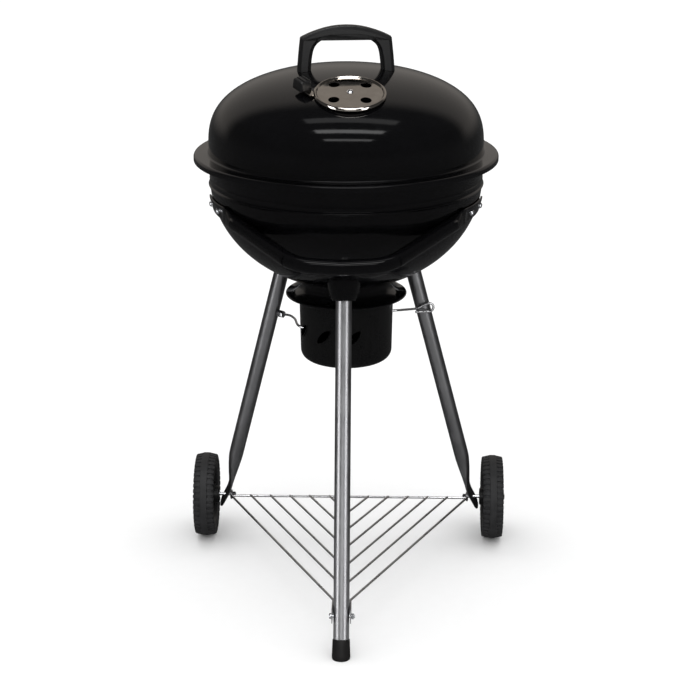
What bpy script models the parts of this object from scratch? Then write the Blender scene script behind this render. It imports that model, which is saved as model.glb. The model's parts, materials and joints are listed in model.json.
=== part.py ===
"""Kettle charcoal grill: lid and bowl on three tube legs, two wheels, an ash can and a wire rack."""

import math

import bmesh
import bpy
from mathutils import Matrix, Vector

# Driving dimensions, in metres. Turned pieces are drawn about the kettle's upright axis.
RIM_Z = 0.748
LID_RADIUS = 0.221
LID_RISE = 0.128
LID_POWER = 2.85
SHEET = 0.001
GAP = 0.0003
FLANGE_RADIUS = 0.245
BOWL_RADIUS = 0.2195
BOWL_DROP = 0.180
BOWL_CENTRE_Z = RIM_Z - 0.040
ASH_HOLE_RADIUS = 0.068
TURN_STEPS = 40
LEG_RADIUS = 0.0127
LEG_WALL = 0.0012
LEG_REACH = 0.307
LEG_SLOPE = 0.317
LEG_TOP_Z = 0.553
REAR_TURN = math.radians(38)
SOCKET_FOOT_Z = 0.538
WHEEL_RADIUS = 0.075
WHEEL_WIDTH = 0.036
WHEEL_X = 0.258
HUB_BACK = 0.0225
HUB_FRONT = 0.019
BOLT_RADIUS = 0.003
WIRE_RADIUS = 0.002
RACK_Z = 0.0745
RACK_BOLT_Z = 0.0635
RACK_CHEVRONS = 6
CAN_RADIUS = 0.0775
CAN_FOOT_RADIUS = 0.0755
CAN_TOP_Z = 0.514
CAN_FOOT_Z = 0.400
DAMPER_RADIUS = 0.056
DAMPER_REACH = 0.132
DAMPER_TURN = math.radians(4.2)
VENT_RADIUS = 0.0085
VENT_CIRCLE = 0.0345
HANDLE_Z = 0.671
COOKING_GRATE_RADIUS = 0.2125
COOKING_GRATE_Z = 0.703
COAL_GRATE_RADIUS = 0.170
COAL_GRATE_Z = 0.611

COLOURS = {
    "black_enamel": ((0.012, 0.012, 0.013), 0.12, 0.0),
    "polished_steel": ((0.78, 0.77, 0.75), 0.18, 1.0),
    "leg_metal": ((0.50, 0.50, 0.51), 0.42, 1.0),
    "plated_wire": ((0.58, 0.58, 0.59), 0.32, 1.0),
    "black_moulding": ((0.018, 0.018, 0.019), 0.45, 0.0),
    "can_black": ((0.030, 0.030, 0.032), 0.40, 0.0),
    "tyre_black": ((0.020, 0.020, 0.021), 0.75, 0.0),
    "rubber_black": ((0.022, 0.022, 0.022), 0.70, 0.0),
    "fastener_zinc": ((0.68, 0.68, 0.70), 0.30, 1.0),
    "grate_steel": ((0.55, 0.55, 0.56), 0.35, 1.0),
}

for old in list(bpy.data.objects):
    bpy.data.objects.remove(old, do_unlink=True)

grill = bpy.data.collections.new("kettle_grill")
helpers = bpy.data.collections.new("helpers")
helpers.hide_render = True
bpy.context.scene.collection.children.link(grill)
bpy.context.scene.collection.children.link(helpers)


def material(slot):
    """The slot's material, made once."""
    if slot in bpy.data.materials:
        return bpy.data.materials[slot]
    made = bpy.data.materials.new(slot)
    made.use_nodes = True
    shader = made.node_tree.nodes["Principled BSDF"]
    colour, roughness, metallic = COLOURS[slot]
    shader.inputs["Base Color"].default_value = (*colour, 1)
    shader.inputs["Roughness"].default_value = roughness
    shader.inputs["Metallic"].default_value = metallic
    return made


def add(name, mesh, slot):
    """A piece when it has a slot, otherwise a helper that isn't drawn."""
    obj = bpy.data.objects.new(name, mesh)
    if slot:
        grill.objects.link(obj)
        mesh.materials.append(material(slot))
    else:
        helpers.objects.link(obj)
        obj.hide_render = True
        obj.display_type = "WIRE"
    obj.parent = kettle_axis
    return obj


def place(obj, point, direction=(0, 0, 1)):
    """Puts the piece's own origin at point, with its +Z along direction."""
    obj.location = point
    obj.rotation_euler = Vector(direction).to_track_quat("Z", "Y").to_euler()
    return obj


def turned(name, profile, slot, steps=TURN_STEPS):
    """Turns (radius, height) points about Z. Points that start and end on the axis make a solid."""
    mesh = bpy.data.meshes.new(name)
    last = len(profile) - 1
    edges = [(i, i + 1) for i in range(last)]
    if profile[0][0] > 0:
        edges.append((last, 0))
    mesh.from_pydata([(r, 0, z) for r, z in profile], edges, [])
    obj = add(name, mesh, slot)
    screw = obj.modifiers.new("turn", "SCREW")
    screw.steps = steps
    screw.render_steps = steps
    screw.use_merge_vertices = True
    screw.merge_threshold = 0.0001
    screw.use_smooth_shade = True
    return obj


def from_bmesh(name, bm, slot, smooth=True):
    bmesh.ops.recalc_face_normals(bm, faces=bm.faces[:])
    mesh = bpy.data.meshes.new(name)
    bm.to_mesh(mesh)
    bm.free()
    for face in mesh.polygons:
        face.use_smooth = smooth
    return add(name, mesh, slot)


def box(name, low, high, slot=None):
    bm = bmesh.new()
    bmesh.ops.create_cube(bm, size=1)
    size = Vector(high) - Vector(low)
    bmesh.ops.scale(bm, vec=size, verts=bm.verts)
    bmesh.ops.translate(bm, vec=(Vector(high) + Vector(low)) / 2, verts=bm.verts)
    return from_bmesh(name, bm, slot, smooth=False)


def rod(name, start, end, radius, slot=None, sides=12):
    """A solid round bar between two points."""
    start, end = Vector(start), Vector(end)
    bm = bmesh.new()
    bmesh.ops.create_cone(
        bm, cap_ends=True, segments=sides, radius1=radius, radius2=radius, depth=(end - start).length
    )
    return place(from_bmesh(name, bm, slot), (start + end) / 2, end - start)


def plate(name, outline, thickness, slot):
    """A flat outline in the XZ plane, as thick as given and centred on Y = 0."""
    bm = bmesh.new()
    corners = [bm.verts.new((x, -thickness / 2, z)) for x, z in outline]
    face = bm.faces.new(corners)
    sweep = bmesh.ops.extrude_face_region(bm, geom=[face])
    moved = [v for v in sweep["geom"] if isinstance(v, bmesh.types.BMVert)]
    bmesh.ops.translate(bm, vec=(0, thickness, 0), verts=moved)
    return from_bmesh(name, bm, slot, smooth=False)


def wire(name, points, radius, slot=None, sides=8, cyclic=False):
    """A bent wire through the points, as a mesh that a Boolean can take."""
    curve = bpy.data.curves.new(name, "CURVE")
    curve.dimensions = "3D"
    spline = curve.splines.new("POLY")
    spline.points.add(len(points) - 1)
    for knot, point in zip(spline.points, points):
        knot.co = (*point, 1)
    spline.use_cyclic_u = cyclic
    curve.bevel_depth = radius
    curve.bevel_resolution = sides // 2 - 2
    curve.use_fill_caps = not cyclic
    guide = bpy.data.objects.new(name + "_guide", curve)
    bpy.context.scene.collection.objects.link(guide)
    graph = bpy.context.evaluated_depsgraph_get()
    mesh = bpy.data.meshes.new_from_object(guide.evaluated_get(graph))
    bpy.data.objects.remove(guide, do_unlink=True)
    bm = bmesh.new()
    bm.from_mesh(mesh)
    bmesh.ops.remove_doubles(bm, verts=bm.verts, dist=1e-5)
    return from_bmesh(name, bm, slot)


def loft(name, sections, slot=None, sides=16):
    """Skins (centre, axis, other axis, half, other half, power) sections; a high power squares them off."""
    bm = bmesh.new()
    rings = []
    for centre, axis_a, axis_b, half_a, half_b, power in sections:
        ring = []
        for i in range(sides):
            turn = 2 * math.pi * (i + 0.5) / sides
            c, s = math.cos(turn), math.sin(turn)
            a = math.copysign(abs(c) ** (2 / power), c) * half_a
            b = math.copysign(abs(s) ** (2 / power), s) * half_b
            ring.append(bm.verts.new(Vector(centre) + axis_a * a + axis_b * b))
        rings.append(ring)
    for ring, following in zip(rings, rings[1:]):
        for i in range(sides):
            j = (i + 1) % sides
            bm.faces.new((ring[i], ring[j], following[j], following[i]))
    bm.faces.new(rings[0])
    bm.faces.new(rings[-1])
    return from_bmesh(name, bm, slot)


def boolean(obj, others, operation="DIFFERENCE"):
    """One EXACT Boolean with all the others, which become helpers."""
    group = bpy.data.collections.new(obj.name + "_" + operation.lower())
    helpers.children.link(group)
    for other in others:
        group.objects.link(other)
        other.hide_render = True
        other.display_type = "WIRE"
    joined = obj.modifiers.new(operation.lower(), "BOOLEAN")
    joined.operation = operation
    joined.solver = "EXACT"
    joined.operand_type = "COLLECTION"
    joined.collection = group


def bevel(obj, width, segments=2):
    rounded = obj.modifiers.new("rounded", "BEVEL")
    rounded.width = width
    rounded.segments = segments
    rounded.limit_method = "ANGLE"
    rounded.angle_limit = math.radians(35)


def lid_height(radius, shrink=0.0):
    """Height of the lid's outer skin at a radius, or of a skin that much inside it."""
    share = min(1.0, (radius / (LID_RADIUS - shrink)) ** 2)
    return RIM_Z + 0.010 + (LID_RISE - shrink) * (1 - share) ** (1 / LID_POWER)


def dome_points(radii, shrink=0.0):
    return [(r, lid_height(r, shrink)) for r in radii]


def bowl_points(first_deg, last_deg, count, grow=0.0):
    """Points on the bowl's lower half, by angle from straight down, grown outwards by a distance."""
    points = []
    for i in range(count):
        turn = math.radians(first_deg + (last_deg - first_deg) * i / (count - 1))
        r = (BOWL_RADIUS + grow) * math.sin(turn)
        points.append((r, BOWL_CENTRE_Z - (BOWL_DROP + grow) * math.cos(turn)))
    return points


def bowl_skin(height):
    """Radius of the bowl's outside at a height, and its outward normal as (radial, up)."""
    down = BOWL_CENTRE_Z - height
    radius = BOWL_RADIUS * math.sqrt(1 - (down / BOWL_DROP) ** 2)
    normal = Vector((radius / BOWL_RADIUS**2, -down / BOWL_DROP**2)).normalized()
    return radius, normal


def leg_point(height, turn):
    """Centre line of the leg that points to this direction, seen from above."""
    reach = LEG_REACH - LEG_SLOPE * height
    return Vector((reach * math.cos(turn), reach * math.sin(turn), height))


LEG_TURNS = {"front": -math.pi / 2, "right": REAR_TURN, "left": math.pi - REAR_TURN}
BOLT_POINT = leg_point(WHEEL_RADIUS, REAR_TURN)
FOOT_RADIUS = 0.0143
FRONT_Y = -(LEG_REACH + FOOT_RADIUS)
BACK_Y = BOLT_POINT.y + WHEEL_RADIUS

# The origin is the middle of the footprint on the ground, so the kettle's axis stands off it.
kettle_axis = bpy.data.objects.new("kettle_axis", None)
grill.objects.link(kettle_axis)
kettle_axis.location = (0, -(FRONT_Y + BACK_Y) / 2, 0)

# Lid: enamelled dome, hollow, with a flange and a rolled lip.
z = RIM_Z
lid_profile = [(0, lid_height(0))] + dome_points([0.045, 0.085, 0.120, 0.150, 0.175, 0.195, 0.209, 0.2175])
lid_profile += [(0.2212, z + 0.014), (0.2216, z + 0.005), (0.2235, z + 0.0014), (0.2405, z + 0.001)]
lid_profile += [(FLANGE_RADIUS, z - 0.0015), (FLANGE_RADIUS, z - 0.0095), (0.2438, z - 0.0095)]
lid_profile += [(0.2436, z - 0.0015), (0.2400, z), (0.2230, z + 0.0003), (0.2202, z + 0.004)]
lid_profile += dome_points([0.2180, 0.205, 0.180, 0.145, 0.100, 0.050], SHEET)
lid_profile += [(0, lid_height(0, SHEET))]
lid_shell = turned("lid_shell", lid_profile, "black_enamel")

# A body just outside the lid, which trims whatever stands on it.
over_lid = [(0, lid_height(0) + GAP)]
over_lid += [(r, h + GAP) for r, h in dome_points([0.045, 0.085, 0.120, 0.150, 0.175, 0.195, 0.209])]
over_lid += [(0.209, z), (0, z)]

# Bowl: enamelled, open at the bottom for ash, two beads under the rim.
bowl_profile = [(0.2238, z - GAP), (0.2385, z - GAP), (0.2402, z - 0.0016), (0.2402, z - 0.0065)]
bowl_profile += [(0.2391, z - 0.0065), (0.2388, z - 0.0020), (0.2250, z - 0.0014), (0.2235, z - 0.0035)]
bowl_profile += [(0.2197, z - 0.036), (0.2204, z - 0.038), (0.2195, z - 0.0405), (0.2193, z - 0.0445)]
bowl_profile += [(0.2218, z - 0.0480), (0.2192, z - 0.0525)]
bowl_profile += bowl_points(80, math.degrees(math.asin(ASH_HOLE_RADIUS / BOWL_RADIUS)), 9)
bowl_profile += bowl_points(math.degrees(math.asin(ASH_HOLE_RADIUS / BOWL_RADIUS)), 86, 9, -SHEET)
bowl_profile += [(0.2184, z - 0.036)]
bowl_shell = turned("bowl_shell", bowl_profile, "black_enamel")


def under_bowl():
    """A body just outside the bowl, which trims what is fixed against it."""
    points = [(0, z - 0.02), (0.2300, z - 0.02), (0.2300, z - 0.0540), (0.2196, z - 0.0541)]
    points += bowl_points(80, math.degrees(math.asin(ASH_HOLE_RADIUS / BOWL_RADIUS)), 9, GAP)
    points += [(0, points[-1][1])]
    return turned("bowl_clearance", points, None)


# Side handle: one tube, its flattened ends held to the bowl by two rivets each.
PLATE_HALF = 0.0018
skin_radius, skin_normal = bowl_skin(HANDLE_Z)
plate_offset = GAP + PLATE_HALF
rivet_holes = []
handle_rows = []
for turn_deg, half_height in ((4.6, 0.0075), (6.0, 0.0118), (10.5, 0.0125), (17, 0.0125), (23.5, 0.0125), (28, 0.0125)):
    turn = math.radians(turn_deg)
    outward = Vector((math.cos(turn), -math.sin(turn), 0))
    centre = outward * (skin_radius + plate_offset * skin_normal.x)
    centre.z = HANDLE_Z + plate_offset * skin_normal.y
    up = outward * -skin_normal.y + Vector((0, 0, skin_normal.x))
    handle_rows.append((centre, up, PLATE_HALF, half_height, 5))
crease = Vector((0.1878, -0.1174, HANDLE_Z))
corner = Vector((0.070, -0.260, 0.632))
middle = Vector((0, -0.2665, 0.630))
along = (corner - crease).normalized()
handle_rows.append((crease, Vector((0, 0, 1)), PLATE_HALF, 0.0127, 4))
for travel, half_width, half_height, power in ((0.010, 0.0045, 0.0128, 2.8), (0.022, 0.0090, 0.0125, 2.2), (0.034, 0.0120, 0.0120, 2)):
    handle_rows.append((crease + along * travel, Vector((0, 0, 1)), half_width, half_height, power))
before_bend = corner - along * 0.030
after_bend = corner.lerp(middle, 0.43)
for i in range(5):
    share = i / 4
    point = before_bend.lerp(corner, share).lerp(corner.lerp(after_bend, share), share)
    handle_rows.append((point, Vector((0, 0, 1)), 0.0120, 0.0120, 2))
handle_rows.append((middle, Vector((0, 0, 1)), 0.0120, 0.0120, 2))
flip = Matrix.Diagonal((-1, 1, 1))
handle_rows += [(flip @ c, flip @ up, w, h, p) for c, up, w, h, p in reversed(handle_rows[:-1])]
handle_sections = []
for i, (centre, up, half_width, half_height, power) in enumerate(handle_rows):
    ahead = handle_rows[min(i + 1, len(handle_rows) - 1)][0] - handle_rows[max(i - 1, 0)][0]
    ahead.normalize()
    up = (up - ahead * up.dot(ahead)).normalized()
    handle_sections.append((centre, ahead.cross(up), up, half_width, half_height, power))
side_handle = loft("side_handle", handle_sections, "black_enamel", sides=12)
boolean(side_handle, [under_bowl()])

rivet = [(0, 0.0034), (0.0026, 0.0030), (0.0044, 0.0016), (0.0048, 0.0), (0.0024, 0.0)]
rivet += [(0.0024, -0.0068), (0.0042, -0.0068), (0.0042, -0.0086), (0, -0.0086)]
for side, sign in (("left", -1), ("right", 1)):
    for place_name, turn_deg in (("rear", 10.5), ("front", 23.5)):
        turn = math.radians(turn_deg)
        outward = Vector((sign * math.cos(turn), -math.sin(turn), 0))
        normal = outward * skin_normal.x + Vector((0, 0, skin_normal.y))
        foot = outward * skin_radius + Vector((0, 0, HANDLE_Z))
        seat = foot + normal * (2 * GAP + 2 * PLATE_HALF + 0.0002)
        place(turned(f"{side}_{place_name}_handle_rivet", rivet, "fastener_zinc", 12), seat, normal)
        rivet_holes.append((foot - normal * 0.006, foot + normal * 0.010))
for target in (side_handle, bowl_shell):
    boolean(target, [rod("rivet_drill", a, b, 0.0028) for a, b in rivet_holes])

# Leg sockets: tapered cups under the bowl, each bored for its leg and held by a bolt from inside.
socket_drills = []
for side, turn in LEG_TURNS.items():
    low = leg_point(SOCKET_FOOT_Z, turn)
    up = (leg_point(1, turn) - leg_point(0, turn)).normalized()
    cup = [(0, 0.060), (0.0278, 0.060), (0.0272, 0.034), (0.0240, 0.018), (0.0200, 0.0045)]
    cup += [(0.0180, 0.0010), (0.0160, 0.0), (0, 0.0)]
    socket = place(turned(f"{side}_leg_socket", cup, "black_enamel", 20), low, up)
    top = leg_point(LEG_TOP_Z, turn)
    bore = rod("socket_bore", low - up * 0.01, top + up * GAP, LEG_RADIUS + 2 * GAP, sides=16)
    drill = (top - up * 0.004, top + up * 0.050)
    boolean(socket, [under_bowl(), bore, rod("socket_drill", *drill, 0.0034)])
    socket_drills.append(drill)
    bowl_z = 0.5655
    seat = leg_point(bowl_z, turn) + up * 0.0082
    screw = [(0, 0.0038), (0.0040, 0.0034), (0.0062, 0.0016), (0.0062, 0.0), (0.0028, 0.0)]
    screw += [(0.0028, -0.0165), (0, -0.0165)]
    place(turned(f"{side}_socket_screw", screw, "fastener_zinc", 12), seat, up)
boolean(bowl_shell, [rod("bowl_drill", *drill, 0.0034) for drill in socket_drills])

# Front leg: a straight tube in a rubber foot that is flat where it rests.
low = leg_point(0.006, LEG_TURNS["front"])
top = leg_point(LEG_TOP_Z, LEG_TURNS["front"])
up = (top - low).normalized()
length = (top - low).length
inner = LEG_RADIUS - LEG_WALL
tube = [(inner, length), (LEG_RADIUS, length), (LEG_RADIUS, 0), (inner, 0)]
front_leg = place(turned("front_leg", tube, "leg_metal", 16), low, up)
bolt_centre = leg_point(RACK_BOLT_Z, LEG_TURNS["front"])
across = Vector((0.030, 0, 0))
boolean(front_leg, [rod("leg_drill", bolt_centre - across, bolt_centre + across, 0.0028)])

foot = [(0, 0.0310), (0.0136, 0.0310), (0.0141, 0.0295), (0.0146, 0.0080), (FOOT_RADIUS, 0.0010)]
foot += [(0.0120, -0.0040), (0, -0.0040)]
foot_base = leg_point(0, LEG_TURNS["front"])
front_foot = place(turned("front_foot", foot, "rubber_black", 20), foot_base, up)
pocket = rod("foot_pocket", low - up * GAP, low + up * 0.05, LEG_RADIUS + GAP, sides=16)
ground = box("ground_cut", (-0.05, -0.40, -0.05), (0.05, -0.25, 0))
boolean(front_foot, [pocket, ground])

# Rear legs: tubes that flatten into a blade for the wheel bolt.
blade_turn = math.radians(9)
for side, sign in (("right", 1), ("left", -1)):
    path = [(LEG_TOP_Z, 0, LEG_RADIUS, LEG_RADIUS, 2)]
    path += [(h, 0, LEG_RADIUS, LEG_RADIUS, 2) for h in (0.36, 0.157)]
    path += [(0.138, -0.0010, 0.0101, 0.0138, 2.2), (0.120, -0.0018, 0.0066, 0.0156, 2.6)]
    path += [(0.106, -0.0026, 0.0036, 0.0168, 3.2), (0.096, -0.0032, 0.0021, 0.0174, 4)]
    path += [(0.086, -0.0024, 0.0019, 0.0174, 5), (0.075, 0, 0.0019, 0.0174, 5)]
    path += [(0.062, 0.0030, 0.0019, 0.0165, 4), (0.0555, 0.0046, 0.0018, 0.0115, 3)]
    centres = []
    for height, shift, _, _, _ in path:
        centre = leg_point(height, REAR_TURN) + Vector((shift, 0, 0))
        centres.append(Vector((sign * centre.x, centre.y, centre.z)))
    wide = Vector((sign * math.sin(blade_turn), math.cos(blade_turn), 0))
    sections = []
    cores = []
    for i, (height, shift, half_thick, half_wide, power) in enumerate(path):
        ahead = centres[min(i + 1, len(path) - 1)] - centres[max(i - 1, 0)]
        ahead.normalize()
        broad = (wide - ahead * wide.dot(ahead)).normalized()
        thin = ahead.cross(broad)
        sections.append((centres[i], thin, broad, half_thick, half_wide, power))
        if half_thick > 0.003:
            centre = centres[i] - ahead * 0.005 if i == 0 else centres[i]
            cores.append((centre, thin, broad, half_thick - LEG_WALL, half_wide - LEG_WALL, power))
    leg = loft(f"{side}_leg", sections, "leg_metal")
    bolt_line = Vector((sign * BOLT_POINT.x, BOLT_POINT.y, BOLT_POINT.z))
    drill = rod("blade_drill", bolt_line - across, bolt_line + across, BOLT_RADIUS + GAP)
    boolean(leg, [loft("leg_core", cores), drill])

# Wheels: tyre, wheel and cap turn on a shoulder bolt through the blade.
tyre = [(0.0565, 0.0160), (0.0640, 0.0180), (0.0705, 0.0172), (0.0738, 0.0140), (WHEEL_RADIUS, 0.0062)]
tyre += [(r, -h) for r, h in reversed(tyre)]
rim = [(0.0034, HUB_FRONT), (0.0110, HUB_FRONT), (0.0140, 0.0165), (0.0150, 0.0050), (0.0480, 0.0050)]
rim += [(0.0500, 0.0150), (0.0560, 0.0150), (0.0560, -0.0150), (0.0500, -0.0150), (0.0480, -0.0030)]
rim += [(0.0150, -0.0030), (0.0150, -HUB_BACK), (0.0034, -HUB_BACK)]
bolt = [(0, 0.0232), (0.0050, 0.0230), (0.0072, 0.0214), (0.0072, HUB_FRONT + GAP)]
bolt += [(BOLT_RADIUS, HUB_FRONT + GAP), (BOLT_RADIUS, -0.0530), (0, -0.0530)]
nut = [(0.0036, 0.0025), (0.0046, 0.0025), (0.0046, -0.0025), (0.0036, -0.0025)]
EYE_X = BOLT_POINT.x - 0.0100
for side, sign in (("right", 1), ("left", -1)):
    centre = Vector((sign * WHEEL_X, BOLT_POINT.y, WHEEL_RADIUS))
    outward = Vector((sign, 0, 0))
    place(turned(f"{side}_tyre", tyre, "tyre_black", 32), centre, outward)
    place(turned(f"{side}_wheel", rim, "black_moulding", 20), centre, outward)
    place(turned(f"{side}_wheel_bolt", bolt, "fastener_zinc", 12), centre, outward)
    nut_x = sign * (EYE_X - WIRE_RADIUS - 0.0025 - GAP)
    place(turned(f"{side}_wheel_nut", nut, "fastener_zinc", 6), (nut_x, centre.y, centre.z), outward)

# Bottom rack: plated wires in a triangle, with eyes on the wheel bolts and ears on the front leg.
RAIL_Y = BOLT_POINT.y - 0.0070
APEX_Y = -0.282
rack_half = EYE_X
lean = (RAIL_Y - APEX_Y) / rack_half
eye = [(0.0037, 0.0014), (0.0046, 0.0020), (0.0075, 0.0020), (0.0088, 0.0010)]
eye += [(r, -h) for r, h in reversed(eye)]
rack_pieces = []
for sign in (-1, 1):
    rack_pieces.append(place(turned("rack_eye", eye, None, 12), (sign * EYE_X, BOLT_POINT.y, RACK_Z), (1, 0, 0)))
plate_y = -0.2655
weld_z = RACK_Z + 0.0014
for k in range(RACK_CHEVRONS):
    x = rack_half * (RACK_CHEVRONS - k) / RACK_CHEVRONS
    tip_y = RAIL_Y - lean * x
    if k == 0:
        near = (rack_half - (RAIL_Y - plate_y) / lean, plate_y, RACK_Z + 0.0006)
        rack_pieces.append(wire("rack_side", [(x, RAIL_Y, RACK_Z + 0.0006), near], WIRE_RADIUS))
        flipped = [(-x, RAIL_Y, RACK_Z + 0.0006), (-near[0], plate_y, RACK_Z + 0.0006)]
        rack_pieces.append(wire("rack_side", flipped, WIRE_RADIUS))
    else:
        bent = [(x, RAIL_Y, weld_z), (0, tip_y, weld_z), (-x, RAIL_Y, weld_z)]
        rack_pieces.append(wire("rack_chevron", bent, WIRE_RADIUS))
for sign in (-1, 1):
    near, far = sorted((sign * 0.0139, sign * 0.0155))
    rack_pieces.append(box("rack_ear", (near, -0.2985, 0.0560), (far, -0.2600, 0.0790)))
rack_pieces.append(box("rack_tie", (-0.0150, -0.2665, 0.0570), (0.0150, -0.2645, 0.0785)))
rail = [(-rack_half - 0.001, RAIL_Y, RACK_Z), (rack_half + 0.001, RAIL_Y, RACK_Z)]
bottom_rack = wire("bottom_rack", rail, WIRE_RADIUS, "plated_wire")
boolean(bottom_rack, rack_pieces, "UNION")
boolean(bottom_rack, [rod("ear_drill", bolt_centre - across, bolt_centre + across, 0.0028)])

rack_bolt = [(0, 0.0195), (0.0040, 0.0195), (0.0046, 0.0185), (0.0046, 0.0159), (0.0025, 0.0159)]
rack_bolt += [(0.0025, -0.0215), (0, -0.0215)]
place(turned("rack_bolt", rack_bolt, "fastener_zinc", 12), bolt_centre, (-1, 0, 0))
rack_nut = [(0.0032, 0.0020), (0.0052, 0.0020), (0.0052, -0.0020), (0.0032, -0.0020)]
place(turned("rack_nut", rack_nut, "fastener_zinc", 6), bolt_centre + Vector((0.0179, 0, 0)), (-1, 0, 0))

# Ash collar under the bowl, with a flared brim that the can's mouth sits in.
collar = [(0.0745, 0.5440), (0.0757, 0.5440), (0.0757, 0.5330), (0.0790, 0.5240), (0.0870, 0.5170)]
collar += [(0.0985, 0.5135), (0.0995, 0.5115), (0.0982, 0.5098), (0.0975, 0.5110), (0.0970, 0.5120)]
collar += [(0.0862, 0.5155), (0.0780, 0.5228), (0.0745, 0.5325)]
ash_collar = turned("ash_collar", collar, "black_enamel", 28)
boolean(ash_collar, [under_bowl()])

# Ash can: a drawn shell with three slanted leaf-shaped vents at the front and sides.
can = [(0, 0.4010), (0.0600, 0.4010), (0.0674, 0.4026), (0.0726, 0.4086), (0.0745, 0.4180)]
can += [(CAN_RADIUS - 0.0012, CAN_TOP_Z), (CAN_RADIUS + 0.0004, CAN_TOP_Z), (CAN_RADIUS, 0.5080)]
can += [(CAN_FOOT_RADIUS, 0.4180), (0.0735, 0.4080), (0.0680, 0.4018), (0.0600, CAN_FOOT_Z), (0, CAN_FOOT_Z)]
ash_can = turned("ash_can", can, "can_black", 28)
vents = []
for turn_deg in (-65, -27.5, 10):
    turn = math.radians(turn_deg)
    facing = Vector((math.sin(turn), -math.cos(turn), 0))
    leaf = [(0.0165 * math.cos(a), 0.0062 * math.sin(a)) for a in [i * math.pi / 8 for i in range(16)]]
    cutter = plate("vent_leaf", leaf, 0.04, None)
    cutter.rotation_euler = (
        Matrix.Rotation(turn, 4, "Z") @ Matrix.Rotation(math.radians(-45), 4, "Y")
    ).to_euler()
    cutter.location = facing * CAN_FOOT_RADIUS + Vector((0, 0, 0.455))
    vents.append(cutter)

# Wire hangers that hook into the can and reach to the rear legs.
left_hook = [(-0.1078, 0.0849, 0.4455), (-0.0960, 0.0560, 0.4525), (-0.0862, 0.0180, 0.4588)]
left_hook += [(-0.0815, -0.0100, 0.4600), (-0.0775, -0.0205, 0.4592), (-0.0690, -0.0262, 0.4575)]
wire("left_hanger", left_hook, WIRE_RADIUS, "plated_wire")
right_hook = [(0.0700, -0.0020, 0.4800), (0.0800, 0.0020, 0.4800), (0.0880, 0.0120, 0.4775)]
right_hook += [(0.1140, 0.0760, 0.4600), (0.1200, 0.0815, 0.4600), (0.1330, 0.0825, 0.4665)]
right_hook += [(0.1405, 0.0840, 0.4672), (0.1452, 0.0852, 0.4636), (0.1452, 0.0852, 0.4570)]
right_hook += [(0.1405, 0.0840, 0.4532), (0.1330, 0.0828, 0.4530), (0.1150, 0.0800, 0.4528)]
wire("right_hanger", right_hook, WIRE_RADIUS, "plated_wire")
hook_holes = [
    rod("hook_hole", (-0.0630, -0.0302, 0.4563), (-0.0800, -0.0188, 0.4597), 0.0030),
    rod("hook_hole", (0.0640, -0.0044, 0.4800), (0.0860, 0.0044, 0.4800), 0.0030),
]
boolean(ash_can, vents + hook_holes)
nut_axis = Vector((0.8, -0.6, 0.02)).normalized()
hanger_nut = [(0.0029, 0.0060), (0.0055, 0.0060), (0.0064, 0.0048), (0.0064, -0.0048), (0.0055, -0.0060)]
hanger_nut += [(0.0029, -0.0060)]
nut_seat = leg_point(0.4445, LEG_TURNS["left"]) + nut_axis * (LEG_RADIUS + 0.0086)
place(turned("hanger_nut", hanger_nut, "fastener_zinc", 6), nut_seat, nut_axis)

# Lid handle: one moulded loop that stands on the lid a little in front of its top.
outline = [(-0.0778, 0.868), (-0.0768, 0.888), (-0.0749, 0.910), (-0.0722, 0.9340), (-0.0587, 0.9408)]
outline += [(-0.0450, 0.9458), (-0.0300, 0.9500), (-0.0150, 0.9525), (0, 0.9533)]
outline += [(-x, h) for x, h in reversed(outline[:-1])]
opening = [(0.0560, 0.868), (0.0547, 0.892), (0.0520, 0.9110), (0.0475, 0.9215), (0.0390, 0.9289)]
opening += [(0.0270, 0.9333), (0.0140, 0.9345), (0, 0.9347)]
opening += [(-x, h) for x, h in reversed(opening[:-1])]
lid_handle = plate("lid_handle", outline + opening, 0.024, "black_moulding")
lid_handle.location = (0, -0.012, 0)
lid_handle.rotation_euler = (0, 0, math.radians(6))
bevel(lid_handle, 0.0050, 2)
handle_screws = []
for sign in (-1, 1):
    across_x = sign * 0.0668
    foot_x = across_x * math.cos(math.radians(6))
    foot_y = -0.012 + across_x * math.sin(math.radians(6))
    handle_screws.append(Vector((foot_x, foot_y, lid_height(math.hypot(foot_x, foot_y)))))
drills = [rod("handle_drill", p - Vector((0, 0, 0.012)), p + Vector((0, 0, 0.026)), 0.0026) for p in handle_screws]
boolean(lid_handle, [turned("lid_clearance", over_lid, None)] + drills)
drills = [rod("lid_drill", p - Vector((0, 0, 0.02)), p + Vector((0, 0, 0.02)), 0.0026) for p in handle_screws]
screw = [(0, 0.0270), (0.0022, 0.0270), (0.0022, 0.0), (0.0050, 0.0), (0.0050, -0.0018), (0.0030, -0.0030)]
screw += [(0, -0.0030)]
for side, point in zip(("left", "right"), handle_screws):
    place(turned(f"{side}_lid_handle_screw", screw, "fastener_zinc", 12), point - Vector((0, 0, 0.0032)))

# Lid damper: a domed disc with a rolled edge, four holes and an arm, free to turn on its rivet.
slope = (lid_height(DAMPER_REACH + 0.002) - lid_height(DAMPER_REACH - 0.002)) / 0.004
damper_tilt = math.atan(-slope) - math.radians(1.4)
damper_turn = Matrix.Rotation(DAMPER_TURN, 3, "Z")
damper_axis = damper_turn @ Vector((0, -math.sin(damper_tilt), math.cos(damper_tilt)))
damper_point = damper_turn @ Vector((0, -DAMPER_REACH, lid_height(DAMPER_REACH))) + damper_axis * 0.0012


def sag(radius):
    return -(radius**2) / (2 * 0.52)


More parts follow.
